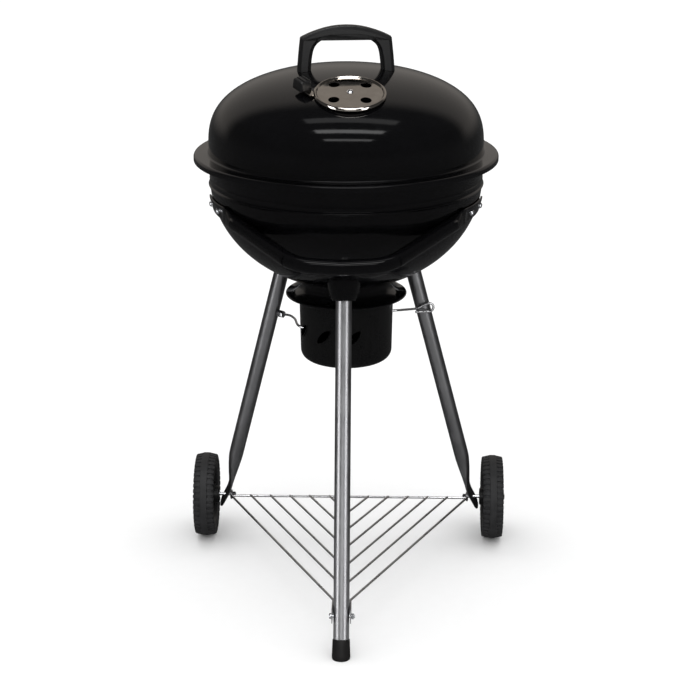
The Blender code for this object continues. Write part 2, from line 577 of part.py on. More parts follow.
disc = [(0.0030, 0.0012), (0.020, sag(0.020) + 0.0012), (0.036, sag(0.036) + 0.0012)]
disc += [(0.0500, sag(0.050) + 0.0012), (0.0512, sag(0.050) + 0.0030), (0.0530, sag(0.050) + 0.0038)]
disc += [(0.0552, sag(0.050) + 0.0030), (DAMPER_RADIUS, sag(0.050) + 0.0010), (DAMPER_RADIUS, sag(DAMPER_RADIUS))]
disc += [(0.0549, sag(0.055)), (0.0535, sag(0.050) + 0.0020), (0.0515, sag(0.050) + 0.0006)]
disc += [(0.0500, sag(0.050)), (0.036, sag(0.036)), (0.020, sag(0.020)), (0.0030, 0.0)]
damper_frame = bpy.data.objects.new("damper_pivot", None)
grill.objects.link(damper_frame)
damper_frame.parent = kettle_axis
damper_frame.location = damper_point
damper_frame.rotation_euler = (damper_tilt, 0, DAMPER_TURN)
damper_disc = turned("damper_disc", disc, "polished_steel", 28)
ARM_ROOT = (-0.0620, 0.0035, 0)
ARM_TURN = math.radians(124)
arm = box("damper_arm", (-0.0130, -0.0065, -0.0016), (0.0200, 0.0065, 0.0000))
arm.location, arm.rotation_euler = ARM_ROOT, (0, 0, ARM_TURN)
vent_turns = [math.radians(42 + 90 * i) for i in range(4)]
vent_drills = [
    rod("damper_vent", (VENT_CIRCLE * math.cos(t), VENT_CIRCLE * math.sin(t), -0.03),
        (VENT_CIRCLE * math.cos(t), VENT_CIRCLE * math.sin(t), 0.03), VENT_RADIUS, sides=14)
    for t in vent_turns
]
lid_vents = [
    rod("lid_vent", (VENT_CIRCLE * math.cos(t), VENT_CIRCLE * math.sin(t), -0.03),
        (VENT_CIRCLE * math.cos(t), VENT_CIRCLE * math.sin(t), 0.03), VENT_RADIUS, sides=12)
    for t in vent_turns
]
rivet_drill = rod("damper_drill", (0, 0, -0.02), (0, 0, 0.02), 0.0027)
boolean(damper_disc, [arm], "UNION")
boolean(damper_disc, vent_drills)
boolean(lid_shell, lid_vents + [rivet_drill] + drills)
knob = box("damper_knob", (0.0055, -0.0110, -0.0030), (0.0310, 0.0110, 0.0145), "black_moulding")
knob.location, knob.rotation_euler = ARM_ROOT, (0, 0, ARM_TURN)
bevel(knob, 0.0030, 2)
slot = box("knob_slot", (-0.0100, -0.0068, -0.0019), (0.0204, 0.0068, 0.0004))
grooves = [box("knob_groove", (-0.01, y - 0.0012, 0.0118), (0.04, y + 0.0012, 0.02)) for y in (-0.0037, 0.0037)]
for tool in [slot] + grooves:
    tool.location, tool.rotation_euler = ARM_ROOT, (0, 0, ARM_TURN)
boolean(knob, [slot] + grooves)
cap = [(0, 0.0042), (0.0028, 0.0038), (0.0050, 0.0024), (0.0052, 0.0015), (0.0024, 0.0015)]
cap += [(0.0024, -0.0032), (0.0045, -0.0032), (0.0045, -0.0045), (0, -0.0045)]
damper_rivet = turned("damper_rivet", cap, "fastener_zinc", 16)
for piece in [damper_disc, knob, damper_rivet, arm, slot, rivet_drill] + grooves + vent_drills + lid_vents:
    piece.parent = damper_frame

# Grates, and the three brackets inside the bowl that hold them.


def grate(name, radius, height, wires, ring_radius, bar_radius):
    ring_points = []
    for i in range(36):
        turn = 2 * math.pi * i / 36
        ring_points.append((radius * math.cos(turn), radius * math.sin(turn), height))
    ring = wire(name, ring_points, ring_radius, "grate_steel", 6, cyclic=True)
    bars = []
    for i in range(wires):
        x = radius * (2 * (i + 0.5) / wires - 1)
        reach = math.sqrt(radius**2 - x**2)
        bars.append(rod("grate_bar", (x, -reach, height), (x, reach, height), bar_radius, sides=6))
    for y in (-radius / 2, radius / 2):
        reach = math.sqrt(radius**2 - y**2)
        bars.append(rod("grate_tie", (-reach, y, height - 0.002), (reach, y, height - 0.002), bar_radius, sides=6))
    boolean(ring, bars, "UNION")
    return ring


grate("cooking_grate", COOKING_GRATE_RADIUS, COOKING_GRATE_Z, 11, 0.0030, 0.0022)
grate("charcoal_grate", COAL_GRATE_RADIUS, COAL_GRATE_Z, 7, 0.0035, 0.0030)
ledges = [(COOKING_GRATE_Z - 0.0055, 0.2000), (COAL_GRATE_Z - 0.0065, 0.1560)]
for side, turn_deg in (("front", -90), ("right", 30), ("left", 150)):
    wall = []
    for h in (0.6975, 0.680, 0.660, 0.640, 0.622, 0.6045, 0.590):
        down = BOWL_CENTRE_Z - h
        wall.append(((BOWL_RADIUS - SHEET) * math.sqrt(1 - (down / (BOWL_DROP - SHEET)) ** 2) - 0.0015, h))
    inner_edge = [(0.1722, 0.6012), (ledges[1][1], 0.6012), (ledges[1][1], 0.6042), (0.1735, 0.6050)]
    inner_edge += [(r - 0.003, h) for r, h in reversed(wall[1:5])]
    inner_edge += [(0.2110, 0.6930), (ledges[0][1], 0.6945), (ledges[0][1], 0.6975)]
    outline = wall[:-1] + inner_edge
    bracket = plate(f"{side}_grate_bracket", outline, 0.014, "black_enamel")
    bracket.rotation_euler = (0, 0, math.radians(turn_deg))
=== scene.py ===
import math
import bmesh
import bpy
from mathutils import Matrix, Vector
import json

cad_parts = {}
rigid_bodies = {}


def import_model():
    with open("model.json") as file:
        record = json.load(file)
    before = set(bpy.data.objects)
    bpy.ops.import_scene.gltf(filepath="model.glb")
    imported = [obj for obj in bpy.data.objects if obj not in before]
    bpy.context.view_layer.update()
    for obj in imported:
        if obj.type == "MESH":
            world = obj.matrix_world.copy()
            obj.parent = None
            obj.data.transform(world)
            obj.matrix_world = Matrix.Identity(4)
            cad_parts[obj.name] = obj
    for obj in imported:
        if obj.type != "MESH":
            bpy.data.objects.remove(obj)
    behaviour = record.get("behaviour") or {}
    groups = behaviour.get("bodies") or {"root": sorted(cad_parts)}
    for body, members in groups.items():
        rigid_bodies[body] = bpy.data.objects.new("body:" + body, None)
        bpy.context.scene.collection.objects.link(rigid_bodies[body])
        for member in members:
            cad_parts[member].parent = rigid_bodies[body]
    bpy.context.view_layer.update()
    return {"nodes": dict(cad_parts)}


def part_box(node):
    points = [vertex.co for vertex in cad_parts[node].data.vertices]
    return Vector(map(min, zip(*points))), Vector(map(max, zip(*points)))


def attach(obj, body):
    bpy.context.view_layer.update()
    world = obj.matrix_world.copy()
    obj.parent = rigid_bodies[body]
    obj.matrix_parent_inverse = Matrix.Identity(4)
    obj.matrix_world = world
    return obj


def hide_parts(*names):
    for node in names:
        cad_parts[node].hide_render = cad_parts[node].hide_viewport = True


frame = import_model()
scene = bpy.context.scene

# The kettle's upright axis stands a little off the origin, so pieces are drawn about it and moved over.
lidLow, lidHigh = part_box("lid_shell")
kettlePlace = Matrix.Translation((0, (lidLow[1] + lidHigh[1]) / 2, 0))
rim = 0.748
sheetThickness = 0.001
fitGap = 0.0003
circleSteps = 128
upright = Vector((0, 0, 1))


def hexColour(text):
    channels = [int(text[i:i + 2], 16) / 255 for i in (1, 3, 5)]
    return (*[c / 12.92 if c <= 0.04045 else ((c + 0.055) / 1.055) ** 2.4 for c in channels], 1)


def addNode(tree, kind, inputs=None, **settings):
    made = tree.nodes.new(kind)
    for key, value in settings.items():
        setattr(made, key, value)
    for key, value in (inputs or {}).items():
        if isinstance(value, bpy.types.NodeSocket):
            tree.links.new(value, made.inputs[key])
        else:
            made.inputs[key].default_value = value
    return made


# materials
# Every finish has the same build: two tones mixed by a slow cloud, a roughness that drifts, fine relief.
# The fine size is a real one in metres, and the noise scale is one over it.
def surface(name, look):
    made = bpy.data.materials.new(name)
    made.use_nodes = True
    tree = made.node_tree
    shader = tree.nodes["Principled BSDF"]
    place = addNode(tree, "ShaderNodeTexCoord").outputs["Object"]
    stretched = addNode(tree, "ShaderNodeMapping", {"Vector": place, "Scale": look.get("stretch", (1, 1, 1))})
    cloud = addNode(tree, "ShaderNodeTexNoise", {
        "Vector": place, "Scale": 1 / look["cloudSize"], "Detail": 4})
    fine = addNode(tree, "ShaderNodeTexNoise", {
        "Vector": stretched.outputs["Vector"], "Scale": 1 / look["fineSize"], "Detail": 3,
        "Roughness": 0.6})
    tone = addNode(tree, "ShaderNodeMix", {
        "Factor": cloud.outputs["Fac"], 6: hexColour(look["dark"]), 7: hexColour(look["light"])},
        data_type="RGBA")
    fleck = addNode(tree, "ShaderNodeMapRange", {
        "Value": fine.outputs["Fac"], "From Min": 0.3, "From Max": 0.7,
        "To Min": 1 - look["fleck"], "To Max": 1})
    speckled = addNode(tree, "ShaderNodeMix", {
        "Factor": 1.0, 6: tone.outputs[2], 7: fleck.outputs["Result"]},
        data_type="RGBA", blend_type="MULTIPLY")
    tree.links.new(speckled.outputs[2], shader.inputs["Base Color"])
    low, high = look["roughness"]
    mixed = addNode(tree, "ShaderNodeMath", {0: cloud.outputs["Fac"], 1: fine.outputs["Fac"]},
                    operation="MULTIPLY")
    rough = addNode(tree, "ShaderNodeMapRange", {
        "Value": mixed.outputs[0], "From Min": 0.12, "From Max": 0.42, "To Min": low, "To Max": high})
    tree.links.new(rough.outputs["Result"], shader.inputs["Roughness"])
    relief = addNode(tree, "ShaderNodeBump", {
        "Height": fine.outputs["Fac"], "Strength": look["reliefStrength"], "Distance": look["reliefDepth"]})
    tree.links.new(relief.outputs["Normal"], shader.inputs["Normal"])
    shader.inputs["Metallic"].default_value = look.get("metallic", 0)
    if "ior" in look:
        shader.inputs["IOR"].default_value = look["ior"]
    return made


# Vitreous enamel, fired on drawn steel: deep black glass with a slow orange-peel ripple about 9 mm across.
enamel = surface("vitreousEnamelFired", {
    "dark": "#060607", "light": "#0b0b0d", "cloudSize": 0.11, "fineSize": 0.009, "fleck": 0.2,
    "roughness": (0.07, 0.13), "reliefStrength": 0.05, "reliefDepth": 0.0004, "ior": 1.5})
# Stainless steel, spun and polished: bright, with soft smears that drift over about 20 mm.
stainless = surface("stainlessSteelPolished", {
    "dark": "#a9a29b", "light": "#c8c2ba", "cloudSize": 0.02, "fineSize": 0.0016, "fleck": 0.08,
    "roughness": (0.06, 0.12), "reliefStrength": 0.04, "reliefDepth": 0.0001, "metallic": 1,
    "stretch": (1, 6, 1)})
# Steel tube, drawn and satin plated: grey, with a faint lengthways grain about 1 mm wide.
satinTube = surface("steelTubeSatinPlated", {
    "dark": "#808082", "light": "#979799", "cloudSize": 0.035, "fineSize": 0.0012, "fleck": 0.08,
    "roughness": (0.32, 0.44), "reliefStrength": 0.03, "reliefDepth": 0.0001, "metallic": 1,
    "stretch": (1, 1, 0.08)})
# Steel wire, drawn and bright plated: lighter than the tube, with a soft gloss.
platedWire = surface("steelWireBrightPlated", {
    "dark": "#b2b2b4", "light": "#d0d0d2", "cloudSize": 0.03, "fineSize": 0.002, "fleck": 0.12,
    "roughness": (0.24, 0.4), "reliefStrength": 0.08, "reliefDepth": 0.0001, "metallic": 1})
# Zinc-plated fasteners: cool and bright with faint mottling.
zinc = surface("steelZincPlated", {
    "dark": "#b0b1b5", "light": "#d8d9dc", "cloudSize": 0.004, "fineSize": 0.0006, "fleck": 0.1,
    "roughness": (0.18, 0.34), "reliefStrength": 0.05, "reliefDepth": 0.00005, "metallic": 1})
# Glass-filled nylon, injection moulded: soft black with a broad sheen. The mould's spark-eroded grain is
# too fine to show, so it is drawn 0.6 mm wide.
nylon = surface("nylonMouldedGrained", {
    "dark": "#121213", "light": "#1b1b1c", "cloudSize": 0.03, "fineSize": 0.0006, "fleck": 0.3,
    "roughness": (0.34, 0.48), "reliefStrength": 0.25, "reliefDepth": 0.0001, "ior": 1.5})
# Heat-proof paint, sprayed: satin black, its fine spray texture drawn 1.1 mm wide so that it shows.
canPaint = surface("heatPaintSprayed", {
    "dark": "#0a0a0b", "light": "#111112", "cloudSize": 0.04, "fineSize": 0.0011, "fleck": 0.25,
    "roughness": (0.24, 0.38), "reliefStrength": 0.18, "reliefDepth": 0.0001, "ior": 1.5})
# Tyre compound, moulded hard plastic and rubber: dull charcoal, its tone uneven over about 14 mm.
tyreCompound = surface("tyreCompoundMoulded", {
    "dark": "#1e1e1f", "light": "#333335", "cloudSize": 0.014, "fineSize": 0.0008, "fleck": 0.3,
    "roughness": (0.5, 0.68), "reliefStrength": 0.3, "reliefDepth": 0.0002, "ior": 1.5})
# Natural rubber cap, moulded: matte, a shade warmer than the plastic.
footRubber = surface("rubberMoulded", {
    "dark": "#111010", "light": "#1f1e1d", "cloudSize": 0.008, "fineSize": 0.0007, "fleck": 0.3,
    "roughness": (0.5, 0.7), "reliefStrength": 0.3, "reliefDepth": 0.0002, "ior": 1.5})
# Cooking rod, nickel plated: brighter than the legs.
grateRod = surface("steelRodNickelPlated", {
    "dark": "#98958f", "light": "#bcb9b2", "cloudSize": 0.03, "fineSize": 0.0015, "fleck": 0.14,
    "roughness": (0.25, 0.4), "reliefStrength": 0.1, "reliefDepth": 0.0001, "metallic": 1})
print("materials ready")


# modelling helpers
def spun(profile, steps=circleSteps, closed=True):
    bm = bmesh.new()
    knots = [bm.verts.new((radius, 0, height)) for radius, height in profile]
    edges = [bm.edges.new(pair) for pair in zip(knots, knots[1:])]
    if closed:
        edges.append(bm.edges.new((knots[-1], knots[0])))
    bmesh.ops.spin(
        bm, geom=knots + edges, cent=(0, 0, 0), axis=(0, 0, 1), angle=2 * math.pi, steps=steps,
        use_merge=True)
    bmesh.ops.remove_doubles(bm, verts=bm.verts, dist=0.000002)
    return bm


def smoothThrough(points, pieces=6):
    # a soft curve through every point
    points = [Vector(p) for p in points]
    padded = [2 * points[0] - points[1]] + points + [2 * points[-1] - points[-2]]
    found = []
    for a, b, c, d in zip(padded, padded[1:], padded[2:], padded[3:]):
        for i in range(pieces):
            t = i / pieces
            found.append(0.5 * ((2 * b) + (c - a) * t + (2 * a - 5 * b + 4 * c - d) * t**2
                                + (3 * b - a - 3 * c + d) * t**3))
    return found + [points[-1]]


def sweep(bm, sections, sides=40):
    # sections are (centre, side, up, half width, half height, power); each ring is pulled out of the last
    turnLayer = bm.verts.layers.float.get("turn") or bm.verts.layers.float.new("turn")
    ring = bmesh.ops.create_circle(bm, segments=sides, radius=1, cap_ends=True)["verts"]
    for vert in ring:
        vert[turnLayer] = math.atan2(vert.co.y, vert.co.x)
    firstFace = ring[0].link_faces[0]
    edges = list(firstFace.edges)
    made = list(ring)
    for number, (centre, side, up, halfWidth, halfHeight, power) in enumerate(sections):
        if number:
            pulled = bmesh.ops.extrude_edge_only(bm, edges=edges)["geom"]
            ring = [g for g in pulled if isinstance(g, bmesh.types.BMVert)]
            edges = [g for g in pulled if isinstance(g, bmesh.types.BMEdge)
                     and all(v in ring for v in g.verts)]
            made += ring
        for vert in ring:
            c, s = math.cos(vert[turnLayer]), math.sin(vert[turnLayer])
            vert.co = (Vector(centre) + side * math.copysign(abs(c) ** (2 / power), c) * halfWidth
                       + up * math.copysign(abs(s) ** (2 / power), s) * halfHeight)
    bmesh.ops.contextual_create(bm, geom=edges)
    return made


def heading(points, i):
    return (points[min(i + 1, len(points) - 1)] - points[max(i - 1, 0)]).normalized()


def tubeSections(points, radius):
    points = [Vector(p) for p in points]
    up = None
    sections = []
    for i, point in enumerate(points):
        ahead = heading(points, i)
        if up is None:
            up = ahead.orthogonal().normalized()
        up = (up - ahead * up.dot(ahead)).normalized()
        sections.append((point, ahead.cross(up), up, radius, radius, 2))
    return sections


def barSections(rows):
    # rows are (centre, rough up, half width, half height, power); the up is squared to the way ahead
    centres = [row[0] for row in rows]
    sections = []
    for i, (centre, up, *shape) in enumerate(rows):
        ahead = heading(centres, i)
        up = (up - ahead * up.dot(ahead)).normalized()
        sections.append((centre, ahead.cross(up), up, *shape))
    return sections


def along(direction, point):
    return Matrix.Translation(point) @ Vector(direction).to_track_quat("Z", "Y").to_matrix().to_4x4()


def placed(bm, place):
    bmesh.ops.transform(bm, matrix=place, verts=bm.verts)
    return bm


def finished(name, bm, body, material, replaced=(), sharpDegrees=38):
    bmesh.ops.transform(bm, matrix=kettlePlace, verts=bm.verts)
    bmesh.ops.remove_doubles(bm, verts=bm.verts, dist=0.000002)
    bmesh.ops.recalc_face_normals(bm, faces=bm.faces)
    mesh = bpy.data.meshes.new(name)
    bm.to_mesh(mesh)
    bm.free()
    mesh.polygons.foreach_set("use_smooth", [True] * len(mesh.polygons))
    mesh.set_sharp_from_angle(angle=math.radians(sharpDegrees))
    piece = bpy.data.objects.new(name, mesh)
    scene.collection.objects.link(piece)
    mesh.materials.append(material)
    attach(piece, body)
    if replaced:
        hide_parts(*replaced)
    return piece


def cutAway(piece, cutter):
    # the cutter is a bmesh in kettle coordinates; it is used once and thrown away
    bmesh.ops.transform(cutter, matrix=kettlePlace, verts=cutter.verts)
    bmesh.ops.recalc_face_normals(cutter, faces=cutter.faces)
    toolMesh = bpy.data.meshes.new("tool")
    cutter.to_mesh(toolMesh)
    cutter.free()
    tool = bpy.data.objects.new("tool", toolMesh)
    scene.collection.objects.link(tool)
    cut = piece.modifiers.new("cut", "BOOLEAN")
    cut.solver = "EXACT"
    cut.operation = "DIFFERENCE"
    cut.object = tool
    bpy.context.view_layer.update()
    result = bpy.data.meshes.new_from_object(piece.evaluated_get(bpy.context.evaluated_depsgraph_get()))
    piece.modifiers.remove(cut)
    name = piece.data.name
    piece.data = result
    result.name = name
    result.set_sharp_from_angle(angle=math.radians(38))
    bpy.data.objects.remove(tool, do_unlink=True)


def drillBits(lines, radius, sides=40):
    bm = bmesh.new()
    for start, end in lines:
        start, end = Vector(start), Vector(end)
        bmesh.ops.create_cone(
            bm, cap_ends=True, segments=sides, radius1=radius, radius2=radius, depth=(end - start).length,
            matrix=along(end - start, (start + end) / 2))
    return bm


print("helpers ready")


# lid
lid = {"radius": 0.221, "rise": 0.128, "power": 2.85, "shoulder": 0.010, "lipRadius": 0.245}


def lidHeight(radius, inside=0.0):
    share = min(1.0, (radius / (lid["radius"] - inside)) ** 2)
    return rim + lid["shoulder"] + (lid["rise"] - inside) * (1 - share) ** (1 / lid["power"])


def domeProfile(inside=0.0, count=40):
    found = []
    for i in range(count):
        turn = math.pi / 2 * (i / count) ** 0.92
        radius = (lid["radius"] - inside) * math.sin(turn)
        found.append((radius, lidHeight(radius, inside)))
    return found


def arc(centre, radius, startDegrees, endDegrees, count=8):
    turns = [math.radians(startDegrees + (endDegrees - startDegrees) * i / count) for i in range(count + 1)]
    return [(centre[0] + radius * math.cos(t), centre[1] + radius * math.sin(t)) for t in turns]


lidProfile = domeProfile()
lidProfile += [(0.2210, rim + 0.0098), (0.2211, rim + 0.0065)]
lidProfile += arc((0.2246, rim + 0.0048), 0.0035, 180, 270, 6)
lidProfile += [(0.2320, rim + 0.0011), (0.2400, rim + 0.0008)]
lidProfile += arc((0.2405, rim - 0.0037), 0.0045, 84, 0)
lidProfile += [(lid["lipRadius"], rim - 0.0080)] + arc((0.2444, rim - 0.0086), 0.0006, 0, -180, 6)
lidProfile += [(0.2438, rim - 0.0040)] + arc((0.2404, rim - 0.0036), 0.0034, 0, 88, 6)
lidProfile += [(0.2320, rim), (0.2250, rim + 0.0002)] + arc((0.2246, rim + 0.0048), 0.0046, 268, 180, 6)
lidProfile += list(reversed(domeProfile(sheetThickness)))
lidPiece = finished("lidDome", spun(lidProfile, 160, closed=False), "lid", enamel,
                    ["lid_shell"])

damper = {"reach": 0.132, "turn": 4.2, "tip": 1.4, "radius": 0.056,
          "ventRadius": 0.0085, "ventCircle": 0.0345, "ventTurn": 42,
          "armRoot": (-0.0620, 0.0035, 0), "armTurn": 124}
damperSlope = (lidHeight(damper["reach"] + 0.002) - lidHeight(damper["reach"] - 0.002)) / 0.004
damperTilt = math.atan(-damperSlope) - math.radians(damper["tip"])
damperAxis = Vector((0, -math.sin(damperTilt), math.cos(damperTilt)))
damperPoint = Vector((0, -damper["reach"], lidHeight(damper["reach"]))) + damperAxis * 0.0012
damperPlace = Matrix.Rotation(math.radians(damper["turn"]), 4, "Z") @ Matrix.Translation(damperPoint)
damperPlace = damperPlace @ Matrix.Rotation(damperTilt, 4, "X")
ventLines = []
for i in range(4):
    turn = math.radians(damper["ventTurn"] + 90 * i)
    spot = Vector((damper["ventCircle"] * math.cos(turn), damper["ventCircle"] * math.sin(turn), 0))
    ventLines.append((damperPlace @ (spot + Vector((0, 0, -0.03))),
                      damperPlace @ (spot + Vector((0, 0, 0.03)))))
cutAway(lidPiece, drillBits(ventLines, damper["ventRadius"]))
print("lid ready")

# bowl
bowl = {"radius": 0.2195, "drop": 0.180, "centre": rim - 0.040, "ashHole": 0.068,
        "beads": ((0.0380, 0.0009, 0.0022), (0.0482, 0.0024, 0.0034))}


def bowlCurve(firstDegrees, lastDegrees, grow=0.0, count=60):
    found = []
    for i in range(count + 1):
        turn = math.radians(firstDegrees + (lastDegrees - firstDegrees) * i / count)
        found.append(((bowl["radius"] + grow) * math.sin(turn),
                      bowl["centre"] - (bowl["drop"] + grow) * math.cos(turn)))
    return found


holeDegrees = math.degrees(math.asin(bowl["ashHole"] / bowl["radius"]))
bowlProfile = [(0.2240, rim - 0.0004), (0.2384, rim - 0.0004)] + arc((0.2384, rim - 0.0022), 0.0018, 80, 0, 5)
bowlProfile += [(0.2402, rim - 0.0060)] + arc((0.23965, rim - 0.0062), 0.00055, 0, -180, 5)
bowlProfile += [(0.2391, rim - 0.0026), (0.2383, rim - 0.0016), (0.2262, rim - 0.0013)]
bowlProfile += [(0.2246, rim - 0.0016), (0.2238, rim - 0.0027), (0.2234, rim - 0.0048)]
for i in range(1, 60):
    drop = 0.0048 + (0.0540 - 0.0048) * i / 60
    radius = 0.2234 - (0.2234 - 0.2194) * min(1, (drop - 0.0048) / 0.0300) ** 0.85
    for middle, height, reach in bowl["beads"]:
        if abs(drop - middle) < reach:
            radius += height * 0.5 * (1 + math.cos(math.pi * (drop - middle) / reach))
    bowlProfile.append((radius, rim - drop))
bowlProfile += bowlCurve(85.0, holeDegrees)
bowlProfile += bowlCurve(holeDegrees, 85.0, -sheetThickness, 40)
bowlProfile += [(0.2184, rim - 0.036), (0.2222, rim - 0.006)]
finished("bowlShell", spun(bowlProfile, 160), "stand", enamel, ["bowl_shell"])


def bowlBody(grow):
    # a solid the shape of the bowl, for trimming what is fixed against it
    profile = [(0, rim - 0.02), (0.2300, rim - 0.02), (0.2300, rim - 0.0540)] + bowlCurve(84, 1.0, grow, 50)
    return spun(profile + [(0, bowl["centre"] - bowl["drop"] - grow)], 128, closed=False)


def bowlSkin(height):
    down = bowl["centre"] - height
    radius = bowl["radius"] * math.sqrt(1 - (down / bowl["drop"]) ** 2)
    return radius, Vector((radius / bowl["radius"] ** 2, -down / bowl["drop"] ** 2)).normalized()


print("bowl ready")

# side handle: one tube with pressed ends, two rivets at each end
sideHandle = {"height": 0.671, "plateHalf": 0.0018, "tubeRadius": 0.0120, "rivetTurns": (10.5, 23.5)}
skinRadius, skinNormal = bowlSkin(sideHandle["height"])
offset = fitGap + sideHandle["plateHalf"]
plateRows = []
for turnDegrees, halfHeight in ((4.3, 0.0040), (4.7, 0.0085), (6.2, 0.0117), (10.5, 0.0125), (17, 0.0125),
                                (23.5, 0.0125), (28, 0.0126)):
    turn = math.radians(turnDegrees)
    outward = Vector((math.cos(turn), -math.sin(turn), 0))
    centre = outward * (skinRadius + offset * skinNormal.x)
    centre.z = sideHandle["height"] + offset * skinNormal.y
    plateRows.append((centre, outward * -skinNormal.y + upright * skinNormal.x,
                      sideHandle["plateHalf"], halfHeight, 5.0))
crease = Vector((0.1878, -0.1174, sideHandle["height"]))
corner = Vector((0.070, -0.260, 0.632))
middle = Vector((0, -0.2665, 0.630))
armWay = (corner - crease).normalized()
plateRows.append((crease, upright, sideHandle["plateHalf"], 0.0127, 4.5))
armRows = [(crease, upright, sideHandle["plateHalf"], 0.0127, 4.5)]
tubeShape = (sideHandle["tubeRadius"], sideHandle["tubeRadius"], 2.0)
for travel, halfWidth, halfHeight, power in ((0.008, 0.0036, 0.0128, 3.2), (0.018, 0.0075, 0.0127, 2.4),
                                             (0.030, 0.0112, 0.0122, 2.1), (0.042, *tubeShape)):
    armRows.append((crease + armWay * travel, upright, halfWidth, halfHeight, power))
beforeBend = corner - armWay * 0.030
afterBend = corner.lerp(middle, 0.43)
for i in range(7):
    share = i / 6
    point = beforeBend.lerp(corner, share).lerp(corner.lerp(afterBend, share), share)
    armRows.append((point, upright, *tubeShape))
armRows.append((middle, upright, *tubeShape))


def refineRows(rows, pieces):
    centres = smoothThrough([row[0] for row in rows], pieces)
    found = []
    for i, centre in enumerate(centres):
        k = min(i // pieces, len(rows) - 2)
        share = i / pieces - k
        a, b = rows[k], rows[k + 1]
        blend = [a[n] + (b[n] - a[n]) * share for n in (2, 3, 4)]
        found.append((centre, a[1].lerp(b[1], share).normalized(), *blend))
    return found


halfRows = refineRows(plateRows, 3) + refineRows(armRows, 3)[1:]
flip = Matrix.Diagonal((-1, 1, 1))
allRows = halfRows + [(flip @ c, flip @ u, w, h, p) for c, u, w, h, p in reversed(halfRows[:-1])]
bm = bmesh.new()
sweep(bm, barSections(allRows))
handlePiece = finished("sideHandleTube", bm, "stand", enamel, ["side_handle"])
cutAway(handlePiece, bowlBody(fitGap))

rivetProfile = [(0, 0.0034), (0.0012, 0.0033), (0.0026, 0.0029), (0.0038, 0.0020), (0.0046, 0.0008),
                (0.0048, 0.0)]
rivetProfile += [(0.0024, 0.0), (0.0024, -0.0068), (0.0042, -0.0068), (0.0042, -0.0086), (0, -0.0086)]
for side, sign in (("left", -1), ("right", 1)):
    for spot, turnDegrees in zip(("rear", "front"), sideHandle["rivetTurns"]):
        turn = math.radians(turnDegrees)
        outward = Vector((sign * math.cos(turn), -math.sin(turn), 0))
        normal = outward * skinNormal.x + upright * skinNormal.y
        seat = outward * skinRadius + upright * sideHandle["height"] + normal * 0.0044
        bm = placed(spun(rivetProfile, 32, closed=False), along(normal, seat))
        finished(f"{side}{spot.title()}HandleRivet", bm, "stand", zinc,
                 [f"{side}_{spot}_handle_rivet"])
print("side handle ready")

# legs
leg = {"radius": 0.0127, "wall": 0.0012, "reach": 0.307, "slope": 0.317, "topHeight": 0.553, "rearTurn": 38,
       "socketFoot": 0.538}
legTurns = {"front": -math.pi / 2, "right": math.radians(leg["rearTurn"]),
            "left": math.pi - math.radians(leg["rearTurn"])}


def legPoint(height, turn):
    reach = leg["reach"] - leg["slope"] * height
    return Vector((reach * math.cos(turn), reach * math.sin(turn), height))


low, top = legPoint(0.006, legTurns["front"]), legPoint(leg["topHeight"], legTurns["front"])
frontUp = (top - low).normalized()
wall = leg["radius"] - leg["wall"]
length = (top - low).length
bm = placed(spun([(wall, length), (leg["radius"], length), (leg["radius"], 0), (wall, 0)], 64),
            along(frontUp, low))
finished("frontLegTube", bm, "stand", satinTube, ["front_leg"])

bladeRows = [(0.553, 0, 0.0127, 0.0127, 2), (0.45, 0, 0.0127, 0.0127, 2), (0.33, 0, 0.0127, 0.0127, 2),
             (0.21, 0, 0.0127, 0.0127, 2), (0.168, 0, 0.0127, 0.0127, 2),
             (0.155, -0.0003, 0.0122, 0.0130, 2.05), (0.138, -0.0010, 0.0099, 0.0139, 2.2),
             (0.120, -0.0018, 0.0065, 0.0156, 2.6), (0.106, -0.0026, 0.0036, 0.0168, 3.2),
             (0.096, -0.0032, 0.0021, 0.0174, 4), (0.086, -0.0024, 0.0019, 0.0174, 5),
             (0.075, 0, 0.0019, 0.0174, 5), (0.064, 0.0027, 0.0019, 0.0168, 4),
             (0.0590, 0.0038, 0.0019, 0.0145, 3.4), (0.0556, 0.0046, 0.0018, 0.0100, 3)]
for side, sign in (("right", 1), ("left", -1)):
    rows = []
    for height, shift, halfThick, halfWide, power in bladeRows:
        centre = legPoint(height, legTurns["right"]) + Vector((shift, 0, 0))
        rows.append((Vector((sign * centre.x, centre.y, centre.z)),
                     Vector((sign * math.sin(math.radians(9)), math.cos(math.radians(9)), 0)),
                     halfThick, halfWide, power))
    bm = bmesh.new()
    sweep(bm, barSections(refineRows(rows, 4)), 48)
    finished(f"{side}LegTube", bm, "stand", satinTube, [f"{side}_leg"])

# leg sockets, cut to the bowl
cup = [(0.0134, 0.0), (0.0134, 0.0145), (0.0040, 0.0145), (0.0040, 0.058), (0.0279, 0.058), (0.0277, 0.040),
       (0.0268, 0.030), (0.0252, 0.021), (0.0232, 0.013), (0.0212, 0.006), (0.0198, 0.0028), (0.0184, 0.0009),
       (0.0168, 0.0)]
screwProfile = [(0, 0.0038), (0.0020, 0.0037), (0.0040, 0.0032), (0.0055, 0.0022), (0.0062, 0.0008),
                (0.0062, 0.0)]
screwProfile += [(0.0028, 0.0), (0.0028, -0.0165), (0, -0.0165)]
for side, turn in legTurns.items():
    up = (legPoint(1, turn) - legPoint(0, turn)).normalized()
    bm = placed(spun(cup, 64), along(up, legPoint(leg["socketFoot"], turn)))
    piece = finished(f"{side}LegSocket", bm, "stand", enamel, [f"{side}_leg_socket"])
    cutAway(piece, bowlBody(fitGap))
    bm = placed(spun(screwProfile, 32, closed=False), along(up, legPoint(0.5655, turn) + up * 0.0082))
    finished(f"{side}SocketScrew", bm, "stand", zinc, [f"{side}_socket_screw"])

